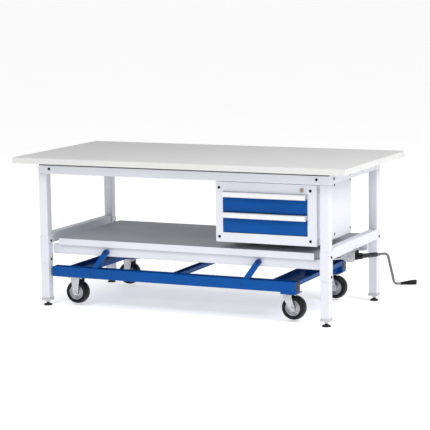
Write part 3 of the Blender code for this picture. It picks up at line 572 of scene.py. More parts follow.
def leg(face, end):
    """One leg from its node's box: tube, sleeve, ribbed tube and cap. Returns its middle and half width."""
    node = f"leg_{face}_{end}"
    low, high = span(node)
    centre = (low[:2] + high[:2]) / 2
    wide = (high[0] - low[0]) / 2
    half = wide - SLEEVE_STEP
    square = np.array([half, half])
    big = np.array([wide, wide])
    upper_low = [*(centre - square), SLEEVE_Z[1] - SLEEVE_OVERLAP]
    upper = block(upper_low, [*(centre + square), high[2]], "z", TUBE_CORNER, 0.0006)
    sleeve = block([*(centre - big), SLEEVE_Z[0]], [*(centre + big), SLEEVE_Z[1]], "z", 0.0055, 0.0018, 6)
    ribs = grooved_square(half, 0.004) + centre
    ribbed = carried(ribs, CAP_TOP - CAP_OVERLAP, SLEEVE_Z[0] + SLEEVE_OVERLAP, "z", 0.0005)
    cap = block([*(centre - big), low[2]], [*(centre + big), CAP_TOP], "z", 0.005, 0.0012)
    piece(f"{face}_{end}_leg", [upper, sleeve, ribbed], WHITE_COAT, "bench", [node])
    piece(f"{face}_{end}_leg_cap", [cap], FOOT_CAP, "bench")
    return centre, wide


LEGS = {(face, end): leg(face, end) for face in FACES for end in ENDS}
print("legs at", {key: np.round(centre, 3).tolist() for key, (centre, _) in LEGS.items()})


# %% [markdown]
# ## Threads
# A screw thread is a surface of two parameters: the angle round the axis and the distance along it. Its
# radius is the core plus the thread's height times a triangle wave of (distance / pitch - angle / full turn),
# which is what makes the crest climb as it goes round.

# %% Carry a thread along an axis
def threaded(centre, axis, start, end, radius, pitch, height, steps=20, per_turn=6):
    """A threaded rod from start to end along its axis. The first and last turn fade to the core."""
    first, second, axis = across(axis)
    rows = int(round((end - start) / pitch * per_turn)) + 1
    along = np.linspace(start, end, rows)[:, None]
    t = (np.arange(steps) * 2 * np.pi / steps)[None]
    phase = (along / pitch - t / (2 * np.pi)) % 1
    ridge = 1 - np.abs(2 * phase - 1)
    fade = np.clip(np.minimum(along - start, end - along) / pitch, 0, 1)
    r = radius - height + height * ridge * fade
    points = (
        np.asarray(centre, float)
        + r[..., None] * (np.cos(t)[..., None] * first + np.sin(t)[..., None] * second)
        + along[..., None] * axis
    )
    return woven(points)


# %% [markdown]
# ## Levelling feet
# A foot is a round pad on a ball, a hexagon to grip with a spanner, and a stem that screws into the leg. The
# pad's edge sits in a thin rubber ring, so it doesn't mark the floor.

# %% Four feet
UP = (0, 0, 1)
STEM = 0.006
PAD = 0.025


def foot(face, end):
    """One levelling foot under its leg: hexagon and threaded stem, pad, and rubber ring."""
    centre = [*LEGS[face, end][0], 0]
    node = f"levelling_foot_{face}_{end}"
    top = span(node)[1][2]
    dish = eased([(0, 0.0025), (PAD - 0.001, 0.0025), (PAD - 0.001, 0.0062), (0.0195, 0.0095),
                  (0.0085, 0.0135), (0.0075, 0.0185), (0, 0.0185)], 0.0008, 3, closed=False)
    nut = turned([(0, 0.0182), (0.0092, 0.0182), (0.0101, 0.0190), (0.0101, 0.0270), (0.0092, 0.0278),
                  (0, 0.0278)], centre, UP, 24, sides=6, hexed=(1, 2, 3, 4))
    stem = threaded(centre, UP, 0.0270, top, STEM, 0.00175, 0.0009, 16)
    piece(f"{face}_{end}_foot_stem", [nut, stem], ZINC, f"foot_{face}_{end}", [node])
    piece(f"{face}_{end}_foot_pad", [turned(dish, centre, UP, 48)], BLACK_STEEL, f"foot_{face}_{end}")
    ring = eased([(PAD - 0.006, 0), (PAD, 0), (PAD, 0.0045), (PAD - 0.0012, 0.0045), (PAD - 0.006, 0.0030)],
                 0.0006, 2)
    tread = turned(ring, centre, UP, 48, closed=True)
    piece(f"{face}_{end}_foot_rubber", [tread], RUBBER, f"foot_{face}_{end}")


for face in FACES:
    for end in ENDS:
        foot(face, end)
print("feet", PAD * 2000, "mm across")


# %% [markdown]
# ## Channels
# The lower beams and the chassis rails are folded from sheet: a C laid on its side and a U. Their section is
# a path of three legs with bent corners, given its thickness to both sides and carried along the bench.

# %% Lower beams and chassis rails
BEAM_WALL = 0.0025
RAIL_WALL = 0.003


def channel(low, high, wall, open_side, along="x"):
    """A channel in a box: the path runs round three sides, half a wall inside the box."""
    u, v, w = AXES[along]
    u0, v0, u1, v1 = low[u] + wall / 2, low[v] + wall / 2, high[u] - wall / 2, high[v] - wall / 2
    paths = {
        "+u": [(high[u], v0), (u0, v0), (u0, v1), (high[u], v1)],
        "-u": [(low[u], v0), (u1, v0), (u1, v1), (low[u], v1)],
        "+v": [(u0, high[v]), (u0, v0), (u1, v0), (u1, high[v])],
        "-v": [(u0, low[v]), (u0, v1), (u1, v1), (u1, low[v])],
    }
    path = eased(paths[open_side], wall * 1.1, 5, closed=False)
    return carried(folded(path, wall), low[w], high[w], along, 0.0003)


BEAM_Y = (0.320, 0.360)
BEAM_Z = (0.298, 0.352)
for face, sign in FACES.items():
    node = f"lower_beam_{face}"
    low, high = span(node)
    y = sorted((sign * BEAM_Y[0], sign * BEAM_Y[1]))
    low, high = np.array([low[0], y[0], BEAM_Z[0]]), np.array([high[0], y[1], BEAM_Z[1]])
    beam = channel(low, high, BEAM_WALL, "+u" if sign < 0 else "-u")
    piece(f"{face}_lower_beam", [beam], WHITE_COAT, "bench", [node])
print("lower beams", np.round(high - low, 3))


# %% [markdown]
# ## Chassis rails
# Each rail is open upwards, with a pad welded under its right end to bring the swivel caster level with the
# fixed one, and a black plug pressed into each end.

# %% Rails, pads and end plugs
PAD_X = (0.590, 0.681)
RAIL_FLOOR = 0.170
PLUG = 0.0025
for face in FACES:
    node = f"chassis_rail_{face}"
    low, high = span(node)
    rail = channel(np.array([low[0], low[1], RAIL_FLOOR]), high, RAIL_WALL, "+v")
    pad_low = [PAD_X[0] + MIDDLE, low[1] + 0.0003, low[2]]
    pad = block(pad_low, [high[0] - 0.0004, high[1] - 0.0003, RAIL_FLOOR + 0.001], "z", 0.002, 0.0008)
    piece(f"{face}_chassis_rail", [rail, pad], BLUE_COAT, "chassis", [node])
    plugs = []
    for x0 in (low[0] + 0.0006, high[0] - PLUG - 0.0006):
        inner_low = [x0, low[1] + RAIL_WALL * 0.6, RAIL_FLOOR + RAIL_WALL * 0.6]
        inner_high = [x0 + PLUG, high[1] - RAIL_WALL * 0.6, high[2] - 0.0006]
        plugs.append(block(inner_low, inner_high, "x", 0.003, 0.0006))
    piece(f"{face}_chassis_rail_plugs", plugs, BLACK_PLASTIC, "chassis")
print("chassis rails", np.round(high - low, 3))


# %% [markdown]
# ## Shelf
# The shelf is a sheet with its long edges folded down and back under, resting on the lower beams. Its short
# edges are folded down as well. The section is a path of five legs carried along the bench.

# %% Folded shelf
SHELF_WALL = 0.002
SHELF_RETURN = 0.045
low, high = span("shelf")
half = SHELF_WALL / 2
section = eased(
    [
        (low[1] + SHELF_RETURN, low[2] + half),
        (low[1] + half, low[2] + half),
        (low[1] + half, high[2] - half),
        (high[1] - half, high[2] - half),
        (high[1] - half, low[2] + half),
        (high[1] - SHELF_RETURN, low[2] + half),
    ],
    0.0025,
    5,
    closed=False,
)
sheet = carried(folded(section, SHELF_WALL), low[0], high[0], "x", 0.0004)
flaps = []
for x in (low[0] + 0.0004, high[0] - SHELF_WALL - 0.0004):
    flap_high = [x + SHELF_WALL, high[1] - 0.004, high[2] - 0.0006]
    flaps.append(block([x, low[1] + 0.004, low[2]], flap_high, "z", 0.0008, 0.0004))
# The tray is coloured a dark grey that paints the shade under the worktop, while the thin strips over its long
# edges stay in the white coat.
piece("shelf_tray", [sheet, *flaps], SHADE_DARKENED_GREY_COAT, "bench", ["shelf"])
LIP_WALL = 0.0012
LIP_SET = 0.0002
lips = []
for y in (low[1] - LIP_WALL + LIP_SET, high[1] - LIP_SET):
    lip_low = [low[0] + 0.0004, y, low[2] + 0.0006]
    lip_high = [high[0] - 0.0004, y + LIP_WALL, high[2] - LIP_SET]
    lips.append(block(lip_low, lip_high, "x", 0.0004, 0.0003))
piece("shelf_edge_strips", lips, WHITE_COAT, "bench")
print("shelf", np.round(high - low, 3))


# %% [markdown]
# ## Cabinet front
# The face of the cabinet is a flat frame round the drawers. It is one plate with a mouth cut through it, so
# it is drawn as two outlines with the same number of points, an outer one and the mouth, joined front and
# back.

# %% Front frame
MOUTH_X = (0.262, 0.754)
MOUTH_Z = (0.482, 0.707)


def upright(loop, y):
    """An outline in X and Z stood up at a given Y."""
    return np.column_stack([loop[:, 0], np.full(len(loop), y), loop[:, 1]])


def window_plate(low, high, hole_low, hole_high, ease=0.0008):
    """A plate with a rectangular mouth. Its section goes round: back, outer edge, face, mouth's edge."""
    outer = rectangle(low[[0, 2]], high[[0, 2]], 0.003)
    outer_in = rectangle(low[[0, 2]] + ease, high[[0, 2]] - ease, 0.0025)
    mouth = rectangle(hole_low, hole_high, 0.001)
    mouth_out = rectangle(np.subtract(hole_low, ease), np.add(hole_high, ease), 0.0015)
    front, back = low[1], high[1]
    rows = [(outer, back), (outer, front + ease), (outer_in, front),
            (mouth_out, front), (mouth, front + ease), (mouth, back)]
    return ringed([upright(loop, y) for loop, y in rows])


low, high = span("cabinet_front_frame")
CABINET_LOW, CABINET_HIGH = low, high
mouth_low, mouth_high = [MOUTH_X[0] + MIDDLE, MOUTH_Z[0]], [MOUTH_X[1] + MIDDLE, MOUTH_Z[1]]
frame_plate = window_plate(low, high, mouth_low, mouth_high)
piece("cabinet_face", [frame_plate], WHITE_COAT, "bench", ["cabinet_front_frame"])
print("cabinet face", np.round(high - low, 3))


# %% [markdown]
# ## Drawers
# Each drawer has a blue front and an extruded grip rail above it, which the fingers hook under. The rail's
# section is a rounded hook with two fine lips that hold a strip of card under a clear cover, left blank here.

# %% Drawer fronts, grips and label strips
def drawer(level):
    """One drawer's front, grip and label strip. Returns the grip's size."""
    owner = f"drawer_{level}"
    low, high = span(f"{owner}_front")
    front = block(low, high, "y", 0.0022, 0.0014)
    piece(f"{level}_drawer_front", [front], BLUE_COAT, owner, [f"{owner}_front"])
    low, high = span(f"{owner}_handle")
    y0, z0, y1, z1, wall = low[1], low[2] + 0.001, high[1], high[2], 0.0018
    lip = 0.0006
    hook = [(y0 + lip, z0), (y0 + lip, z1), (y1, z1), (y1, low[2]), (y1 - wall, low[2]),
            (y1 - wall, z1 - wall), (y0 + lip + wall, z1 - wall), (y0 + lip + wall, z0)]
    soft = eased(hook, 0.0006, 3)
    grip = carried(soft, low[0], high[0], "x", 0.0003)
    rims = [
        carried(rectangle((y0, z), (y0 + lip + 0.0008, z + 0.0014), 0.0004, 3), low[0], high[0], "x", 0.0002)
        for z in (z0 + 0.0012, z1 - 0.0034)
    ]
    piece(f"{level}_drawer_grip", [grip, *rims], WHITE_COAT, owner, [f"{owner}_handle"])
    card_low = [low[0] + 0.006, y0 + 0.0002, z0 + 0.0030]
    card = block(card_low, [high[0] - 0.006, y0 + lip + 0.0002, z1 - 0.0038], "x", 0.0001, 0.0001, 1)
    piece(f"{level}_drawer_label_strip", [card], LABEL, owner)
    return high - low


for level in ("lower", "upper"):
    print(level, "drawer grip", np.round(drawer(level), 4))


# %% [markdown]
# ## Lock
# A cylinder lock sits in the face above the drawers: a rosette, a barrel and a key slot. The barrel turns,
# and its cam turns with it behind the face. The key slot is not cut: a black block on the barrel's end paints
# the shade of its hollow.

# %% Lock barrel and key slot
low, high = span("lock_barrel")
LOCK = pivot("lock_turn")
out = np.array([0, -1, 0])
reach = LOCK[1] - low[1]
rosette = eased([(0, -0.0140), (0.0088, -0.0140), (0.0088, 0.0004), (0.0115, 0.0004), (0.0112, 0.0035),
                 (0.0096, reach), (0.0074, reach), (0.0068, reach - 0.0012), (0, reach - 0.0012)], 0.0004, 3,
                closed=False)
barrel = turned(rosette, LOCK, out, 48)
cam_low = [low[0] + 0.016, high[1] - 0.0022, LOCK[2] - 0.005]
cam = block(cam_low, [high[0], high[1] - 0.0002, LOCK[2] + 0.005], "y", 0.0008, 0.0003)
piece("lock", [barrel, cam], BRASS_NICKEL, "lock", ["lock_barrel"])
# The black block is painted shade standing in for the hollow of the key slot.
keyhole_shade_low = [LOCK[0] - 0.0011, LOCK[1] - reach + 0.0006, LOCK[2] - 0.0045]
keyhole_shade_high = [LOCK[0] + 0.0011, LOCK[1] - reach + 0.0016, LOCK[2] + 0.0045]
keyhole_painted_shade = block(keyhole_shade_low, keyhole_shade_high, "y", 0.0005, 0.0001)
piece("lock_key_slot", [keyhole_painted_shade], BLACK_BOLT, "lock")
print("lock at", np.round(LOCK, 3))


# %% [markdown]
# ## Lift arms
# Four flat bars carry the chassis. Each is a stadium: two half circles round the pivots and straight sides
# between. The outline is worked out from the two pivot points and carried across its thickness.

# %% Arms
ARM_RADIUS = 0.015
CHASSIS_PIVOT = pivot("chassis_level")
ARM_FALL = CHASSIS_PIVOT - pivot("lift_arm_front_left_swing")


def stadium(first, second, radius, steps=14):
    """Half circles round two points, joined: centre + radius(cos t, sin t), where t starts square to the
    line between them on each side."""
    line = np.subtract(second, first)
    facing = math.atan2(line[1], line[0])
    quarter = np.linspace(np.pi / 2, 3 * np.pi / 2, steps) + facing
    around = np.concatenate([quarter, quarter + np.pi])
    centres = np.repeat([first, second], steps, axis=0)
    return centres + radius * np.column_stack([np.cos(around), np.sin(around)])


for face in FACES:
    for end in ENDS:
        node = f"lift_arm_{face}_{end}"
        low, high = span(node)
        top = pivot(f"{node}_swing")[[0, 2]]
        loop = stadium(top, top + ARM_FALL[[0, 2]], ARM_RADIUS)
        arm = carried(loop, low[1], high[1], "y", 0.0012)
        piece(f"{face}_{end}_lift_arm", [arm], BLUE_COAT, node, [node])
print("arms", round(float(np.linalg.norm(ARM_FALL)), 3), "between pivots")


# %% [markdown]
# ## Bolts
# A socket screw's head is turned, then a hexagon is broached into it. Both are rows of one lathe grid: the
# outer rows are round, and the inner rows are divided by the cosine that makes a circle a hexagon. A washer
# under a head at a pivot spreads its load.

# %% A socket screw and a hexagon nut
def socket_screw(centre, axis, radius=0.0075, height=0.0035):
    """A low round head with a hexagon socket."""
    rim, key, deep = radius, radius * 0.48, height * 0.35
    rows = [(0, -0.0004), (rim, -0.0004), (rim, height * 0.62), (rim * 0.94, height * 0.84),
            (rim * 0.80, height), (key, height), (key * 0.96, deep), (0, deep)]
    return turned(rows, centre, axis, 24, sides=6, hexed=(5, 6))


def washer(centre, axis, radius, thickness=0.0012):
    """A flat ring with a softened edge, drawn closed because a head covers its hole."""
    rows = [(0, -0.0003), (radius, -0.0003), (radius, thickness * 0.7), (radius - 0.0004, thickness),
            (0, thickness)]
    return turned(rows, centre, axis, 32)


def hexagon_nut(centre, axis, flat=0.0065, height=0.0055, stud=0.004, proud=0.0025):
    """A nut with chamfered corners and the end of its bolt standing out of it."""
    rows = [(0, -0.0003), (flat, -0.0003), (flat, height - 0.0008), (flat * 0.94, height), (stud, height),
            (stud, height + proud - 0.0006), (stud - 0.0006, height + proud), (0, height + proud)]
    return turned(rows, centre, axis, 24, sides=6, hexed=(1, 2, 3))


def screws(places, axis, radius=0.0075, height=0.0035):
    """The same socket screw at each of several places."""
    return [socket_screw(place, axis, radius, height) for place in places]


# %% [markdown]
# ## Black screws of the frame and cabinet
# The rails are bolted to the legs, the sleeves are clamped with screws, and the cabinet's face and sides are
# screwed on. All these heads are black, and against the white coat they are the bench's most visible detail.

# %% Frame and cabinet screws
LEFT, RIGHT, FRONT, BACK = (-1, 0, 0), (1, 0, 0), (0, -1, 0), (0, 1, 0)
rail_low, rail_high = span("top_rail_front")
frame_front, frame_back = rail_low[1], -rail_low[1]
frame_left, frame_right = rail_low[0], rail_high[0]
RAIL_BOLT_X, RAIL_BOLT_Z = 0.810, 0.791
SIDE_BOLT_Y = 0.339
SLEEVE_BOLTS_Z = (0.375, 0.268)

bolts = screws([(MIDDLE + s * RAIL_BOLT_X, frame_front, RAIL_BOLT_Z) for s in (-1, 1)], FRONT)
bolts += screws([(MIDDLE + s * RAIL_BOLT_X, frame_back, RAIL_BOLT_Z) for s in (-1, 1)], BACK)
for x, way in ((frame_right, RIGHT), (frame_left, LEFT)):
    bolts += screws([(x, s * SIDE_BOLT_Y, RAIL_BOLT_Z) for s in (-1, 1)], way)
    bolts += screws([(x, y, 0.784) for y in (-0.090, 0.108)], way, 0.0035, 0.002)
piece("frame_screws", bolts, BLACK_BOLT, "bench")

bolts = []
for (face, end), (centre, wide) in LEGS.items():
    way = ENDS[end]
    for z in SLEEVE_BOLTS_Z:
        bolts += screws([(centre[0] + way * wide, centre[1] + 0.004, z)], (way, 0, 0), 0.0075)
        bolts += screws([(centre[0] - way * wide, centre[1] + 0.004, z)], (-way, 0, 0), 0.0065)
piece("sleeve_screws", bolts, BLACK_BOLT, "bench")

FACE_SCREWS = [(0.241, 0.727), (0.771, 0.728), (0.241, 0.458), (0.771, 0.457)]
bolts = screws([(x + MIDDLE, CABINET_LOW[1], z) for x, z in FACE_SCREWS], FRONT, 0.0075)
piece("cabinet_face_screws", bolts, BLACK_BOLT, "bench")

panel = CABINET_HIGH[0] - 0.002
SIDE_SCREWS = [(-0.130, 0.730), (-0.130, 0.460), (0.120, 0.731), (0.120, 0.461)]
bolts = screws([(panel, y, z) for y, z in SIDE_SCREWS], RIGHT, 0.0055, 0.003)
bolts += screws([(CABINET_LOW[0] + 0.002, y, z) for y, z in SIDE_SCREWS], LEFT, 0.0055, 0.003)
piece("cabinet_side_screws", bolts, BLACK_BOLT, "bench")


# %% [markdown]
# ## Pivot bolts and nuts
# The arms turn on shouldered bolts with low blue-black heads. The lower ones are riveted over on the face of
# the chassis rail, where only a small round end shows.

# %% Arm pivots
PIN = 0.006
TOP_PIN_Y, TOP_PIN_LENGTH = 0.3555, 0.0345
LOW_PIN_DEPTH, LOW_PIN_LENGTH = 0.0265, 0.025


def pin_rod(start, axis, length):
    """A plain round pin: a circle of the pin's radius carried along its axis."""
    return turned([(0, 0), (PIN, 0), (PIN, length), (0, length)], start, axis, 24)


heads, rivets = [], []
for face, sign in FACES.items():
    for end in ENDS:
        node = f"lift_arm_{face}_{end}"
        low, high = span(node)
        top = pivot(f"{node}_swing")
        outer = low[1] if sign < 0 else high[1]
        axis = (0, sign, 0)
        place = (top[0], outer + sign * 0.0003, top[2])
        above = (place[0], place[1] + sign * 0.0011, place[2])
        heads += [washer(place, axis, 0.0105), socket_screw(above, axis, 0.0085, 0.0042)]
        heads.append(pin_rod((top[0], sign * TOP_PIN_Y, top[2]), axis, TOP_PIN_LENGTH))
        foot_point = top + ARM_FALL
        rail_low, rail_high = span(f"chassis_rail_{face}")
        rail_face = rail_low[1] if sign < 0 else rail_high[1]
        end_round = [(0, 0.0012), (0.004, 0.0010), (0.0052, 0.0004), (0.0052, -0.004), (0, -0.004)]
        rivets.append(turned(end_round, (foot_point[0], rail_face, foot_point[2]), axis, 24))
        inside = (foot_point[0], rail_face - sign * LOW_PIN_DEPTH, foot_point[2])
        rivets.append(pin_rod(inside, axis, LOW_PIN_LENGTH))
NAVY_STEEL = steel("blue_black_steel", (0.010, 0.030, 0.110), (0.006, 0.016, 0.060), 0.36, (1, 1, 1), 0.5)
piece("arm_pivot_bolts", heads, NAVY_STEEL, "bench")
piece("chassis_pivot_rivets", rivets, NAVY_STEEL, "chassis")
print(len(heads), "shapes in the upper pivots")


# %% [markdown]
# ## Tyres and rims
# A tyre is turned: a crowned tread, rounded shoulders and side walls with two raised rings, seated on the
# rim. The rim is a pair of pressed discs with a rolled lip, a ring bead and a hub. Both are lathe profiles,
# mirrored about the middle so that the two sides match.

# %% Wheel profiles
WHEEL_LOW, WHEEL_HIGH = span("tyre_front_left")
WHEEL_RADIUS = (WHEEL_HIGH[2] - WHEEL_LOW[2]) / 2
HALF_WIDTH = (WHEEL_HIGH[1] - WHEEL_LOW[1]) / 2
RIM_RADIUS = 0.042
SEAT = 0.021
LIP = HALF_WIDTH - 0.0046


def tyre_profile():
    """Half of the section from the tread's middle to the bead, then its mirror image. The tread drops by the
    square of the distance from its middle, and each side ring is a small raised cosine."""
    w = np.linspace(0, HALF_WIDTH - 0.0115, 8)
    crown = 0.0034 * (w / w[-1]) ** 2
    tread = np.column_stack([WHEEL_RADIUS - crown, w])
    t = np.radians(np.linspace(8, 90, 9))
    shoulder = np.column_stack([
        WHEEL_RADIUS - 0.0128 + 0.0092 * np.cos(t),
        HALF_WIDTH - 0.0104 + 0.0100 * np.sin(t),
    ])
    r = np.linspace(WHEEL_RADIUS - 0.0140, RIM_RADIUS + 0.0015, 22)
    share = (r - r[-1]) / (r[0] - r[-1])
    outer_ring = 0.0007 * np.clip(np.cos((share - 0.62) * 26), 0, 1)
    inner_ring = 0.0005 * np.clip(np.cos((share - 0.18) * 30), 0, 1)
    rings = np.where(np.abs(share - 0.4) < 0.36, outer_ring + inner_ring, 0)
    wall = np.column_stack([r, HALF_WIDTH - 0.0008 - 0.0030 * (1 - share) ** 2 + rings])
    bead = np.array([[RIM_RADIUS, HALF_WIDTH - 0.0052], [RIM_RADIUS - 0.0002, SEAT - 0.002]])
    upper = np.concatenate([tread, shoulder, wall, bead])
    lower = upper[::-1] * [1, -1]
    return np.concatenate([upper, lower[:-1]])


def rim_profile(bore):
    """From the bore over the hub, down the dish, over the bead ring and up to the rolled lip; mirrored."""
    hub, dish = HALF_WIDTH + 0.0025, HALF_WIDTH - 0.0148
    upper = [(bore, hub - 0.0005), (0.0105, hub), (0.0150, hub - 0.0012), (0.0160, hub - 0.0042),
             (0.0166, dish + 0.0060), (0.0186, dish + 0.0014), (0.0222, dish), (0.0246, dish + 0.0016),
             (0.0272, dish + 0.0034), (0.0298, dish + 0.0016), (0.0322, dish - 0.0008), (0.0352, dish),
             (0.0376, dish + 0.0034), (0.0388, LIP - 0.0018), (0.0404, LIP), (0.0424, LIP - 0.0001),
             (0.0432, LIP - 0.0014), (0.0424, LIP - 0.0028), (RIM_RADIUS - 0.0004, LIP - 0.0038)]
    upper = eased(upper, 0.0007, 3, closed=False)
    return np.concatenate([upper, upper[::-1] * [1, -1]])


# %% [markdown]
# ## Wheels
# Every wheel is the same, so one function makes the tyre, the rim and its ring of rivets at a given hub. The
# rivets hold the two discs together, and they make it plain that the wheel turns.

# %% Four wheels
RIVETS = 5
RIVET_RING = 0.0335
RIVET_Y = HALF_WIDTH - 0.0158


def rivet_heads(hub, sign):
    """Low domes on a circle: each is hub + ring(cos, sin) and turned about the wheel's own axis."""
    angle = np.arange(RIVETS) * 2 * np.pi / RIVETS
    ring = RIVET_RING * np.column_stack([np.cos(angle), angle * 0, np.sin(angle)])
    places = hub + ring + [0, sign * RIVET_Y, 0]
    dome = [(0, 0.0016), (0.0014, 0.0013), (0.0023, 0.0004), (0.0023, -0.001), (0, -0.001)]
    return [turned(dome, place, (0, sign, 0), 12) for place in places]


def wheel(face, end):
    """One wheel: tyre, rim and rivets turned about its own hub. Returns the hub's place."""
    owner = f"wheel_{face}_{end}"
    hub = pivot(f"{owner}_spin")
    tyre = turned(tyre_profile(), hub, BACK, 96, closed=True)
    piece(f"{face}_{end}_tyre", [tyre], RUBBER, owner, [f"tyre_{face}_{end}"])
    disc = turned(rim_profile(0.0064), hub, BACK, 72, closed=True)
    surfaces = [disc, *rivet_heads(hub, -1), *rivet_heads(hub, 1)]
    piece(f"{face}_{end}_wheel_disc", surfaces, ZINC, owner, [f"wheel_rim_{face}_{end}"])
    return hub


HUBS = {(face, end): wheel(face, end) for face in FACES for end in ENDS}
print("wheels", round(WHEEL_RADIUS * 2000), "mm across,", round(HALF_WIDTH * 2000), "mm wide")


# %% [markdown]
# ## Caster forks
# A fork is pressed from one strip: a crown and two sides that taper to the axle. The left forks are bolted to
# the chassis and can't turn. The right ones hang from a ball race, behind whose centre the wheel trails.

# %% Fork shapes
FORK_WALL = 0.003
FORK_GAP = 0.003
CROWN_HALF = 0.026
AXLE = 0.006


def fork_side(middle, hub, top, inner, sign):
    """One side: wide at the crown, tapering to a round end about the axle, with its corners eased."""
    angle = np.radians(np.linspace(200, 340, 15))
    end = np.column_stack([hub[0] + 0.017 * np.cos(angle), hub[2] + 0.017 * np.sin(angle)])
    left, right, shoulder = middle - CROWN_HALF, middle + CROWN_HALF, top - 0.014
    top_part = [(right, shoulder), (right, top), (left, top), (left, shoulder)]
    loop = np.concatenate([end, top_part])
    start = hub[1] + sign * inner
    y = sorted((start, start + sign * FORK_WALL))
    return carried(loop, y[0], y[1], "y", 0.0007)


def axle_nuts(hub, reach):
    """The axle's two ends: a washer and a nut on each side of the fork."""
    made = []
    for sign in FACES.values():
        spot = np.array([hub[0], hub[1] + sign * reach, hub[2]])
        way = (0, sign, 0)
        nut = hexagon_nut(spot + [0, sign * 0.0010, 0], way, 0.0085, 0.0035, 0.0048, 0.0008)
        made += [washer(spot, way, 0.0105), nut]
    made.append(turned([(0, -reach), (AXLE, -reach), (AXLE, reach), (0, reach)], hub, BACK, 24))
    return made


def crowned(middle, y, top, half, thick):
    """The fork's crown: a plate with its long edges rounded over."""
    low, high = [middle - CROWN_HALF, y - half, top - thick], [middle + CROWN_HALF, y + half, top]
    return block(low, high, "x", 0.0013, 0.0006, 5)


# %% [markdown]
# ## Casters, put together
# The fixed fork hangs under a plate with four bolts. The swivel fork hangs under a race, two turned cups with
# a dark gap for the balls between them.

# %% Four casters
PLATE = 0.004
SIDE = HALF_WIDTH + FORK_GAP


def plate_nuts(corners, height, proud):
    """Nuts under a caster plate, pointing down."""
    return [hexagon_nut((x, y, height), (0, 0, -1), 0.0055, 0.0045, 0.0035, proud) for x, y in corners]


def fixed_caster(face):
    """A fork that is bolted to the chassis and does not turn."""
    node = f"caster_fork_{face}_left"
    low, high = span(node)
    hub = HUBS[face, "left"]
    plate_low = [low[0], hub[1] - 0.045, high[2] - PLATE]
    plate = block(plate_low, [high[0], hub[1] + 0.045, high[2]], "z", 0.006, 0.0008)
    sides = [fork_side(hub[0], hub, high[2] - PLATE * 0.6, SIDE, sign) for sign in FACES.values()]
    corners = [(hub[0] + i * 0.040, hub[1] + j * 0.036) for i in (-1, 1) for j in (-1, 1)]
    bolts = plate_nuts(corners, high[2] - PLATE, 0.002)
    surfaces = [plate, *sides, *bolts, *axle_nuts(hub, SIDE + FORK_WALL)]
    piece(f"{face}_left_caster_fork", surfaces, ZINC, "chassis", [node])


def swivel_caster(face):
    """A fork that turns under its plate, with the ball race between them."""
    node = f"caster_fork_{face}_right"
    low, high = span(node)
    hub = HUBS[face, "right"]
    king = pivot(f"caster_swivel_{face}")
    half = SIDE + FORK_WALL
    crown = crowned(king[0], hub[1], high[2], half, 0.003)
    sides = [fork_side(king[0], hub, high[2] - 0.001, SIDE, sign) for sign in FACES.values()]
    surfaces = [crown, *sides, *axle_nuts(hub, half)]
    piece(f"{face}_right_caster_fork", surfaces, ZINC, f"swivel_{face}", [node])
    plate_low, plate_high = span(f"caster_plate_{face}")
    top = block([plate_low[0], plate_low[1], plate_high[2] - PLATE], plate_high, "z", 0.006, 0.0008)
    z0, z1 = plate_low[2], plate_high[2]
    race = eased([(0, z1 - 0.002), (0.0230, z1 - 0.002), (0.0236, z0 + 0.0028), (0.0250, z0 + 0.0024),
                  (0.0250, z0 + 0.0016), (0.0238, z0 + 0.0013), (0.0238, z0 + 0.0009), (0.0248, z0 + 0.0006),
                  (0.0242, z0), (0, z0)], 0.00015, 2, closed=False)
    cup = turned(race, (king[0], king[1], 0), UP, 64)
    sides_x = (plate_low[0] + 0.010, plate_high[0] - 0.010)
    sides_y = (plate_low[1] + 0.009, plate_high[1] - 0.009)
    bolts = plate_nuts([(x, y) for x in sides_x for y in sides_y], plate_high[2] - PLATE, 0.001)
    piece(f"{face}_right_caster_plate", [top, cup, *bolts], ZINC, "chassis", [f"caster_plate_{face}"])


for face in FACES:
    fixed_caster(face)
    swivel_caster(face)
trail = HUBS["front", "right"][0] - pivot("caster_swivel_front")[0]
print("casters: 2 fixed, 2 swivelling, trail", round(float(trail), 3))


# %% [markdown]
# ## Crank and spindle
# The crank drives a spindle whose nut pulls the chassis along. From the bench outwards there is a black
# housing with ribs, a dark socket, a bent rod and a grip. The rod is a circle carried along a path, with
# its section kept square to the path at every point, and the socket tapers where the rod enters it.

# %% The crank's own axes
CRANK = JOINTS["crank_turn"]
ORIGIN = pivot("crank_turn")
ALONG = np.array(CRANK["axis"]) / np.linalg.norm(CRANK["axis"])
SIDEWAYS = np.array([0, 1.0, 0])
DOWN = np.cross(ALONG, SIDEWAYS)
DOWN *= -np.sign(DOWN[2])
CRANK_ARM = 0.1712
HOUSING_END = 0.071
SOCKET_END = 0.162
CRANK_BEND = 0.2174
CRANK_SPLAY = 0.0148
ROD = 0.007
GRIP_START, GRIP_END, GRIP_HEAD = 0.272, 0.3605, 0.003


def from_pivot(along, down=0.0):
    """A point measured from the spindle's pivot: along the spindle and down the crank."""
    return ORIGIN + along * ALONG + down * DOWN


def bent_rod(path, radius):
    """A circle carried along a path in one plane: path + radius(cos t normal + sin t sideways)."""
    run = np.gradient(path, axis=0)
    run /= np.linalg.norm(run, axis=1)[:, None]
    normal = np.cross(run, SIDEWAYS)
    t = np.arange(24) * 2 * np.pi / 24
    ring = np.cos(t)[None, :, None] * normal[:, None] + np.sin(t)[None, :, None] * SIDEWAYS
    return woven(path[:, None] + np.reshape(radius, (-1, 1, 1)) * ring)


# %% [markdown]
# ## Crank, put together
# Bends are arcs of the rod's centre line, filled in between with short steps so that the surface is even. The
# pin of the grip is part of the rod, and its end is riveted over a small bright disc.

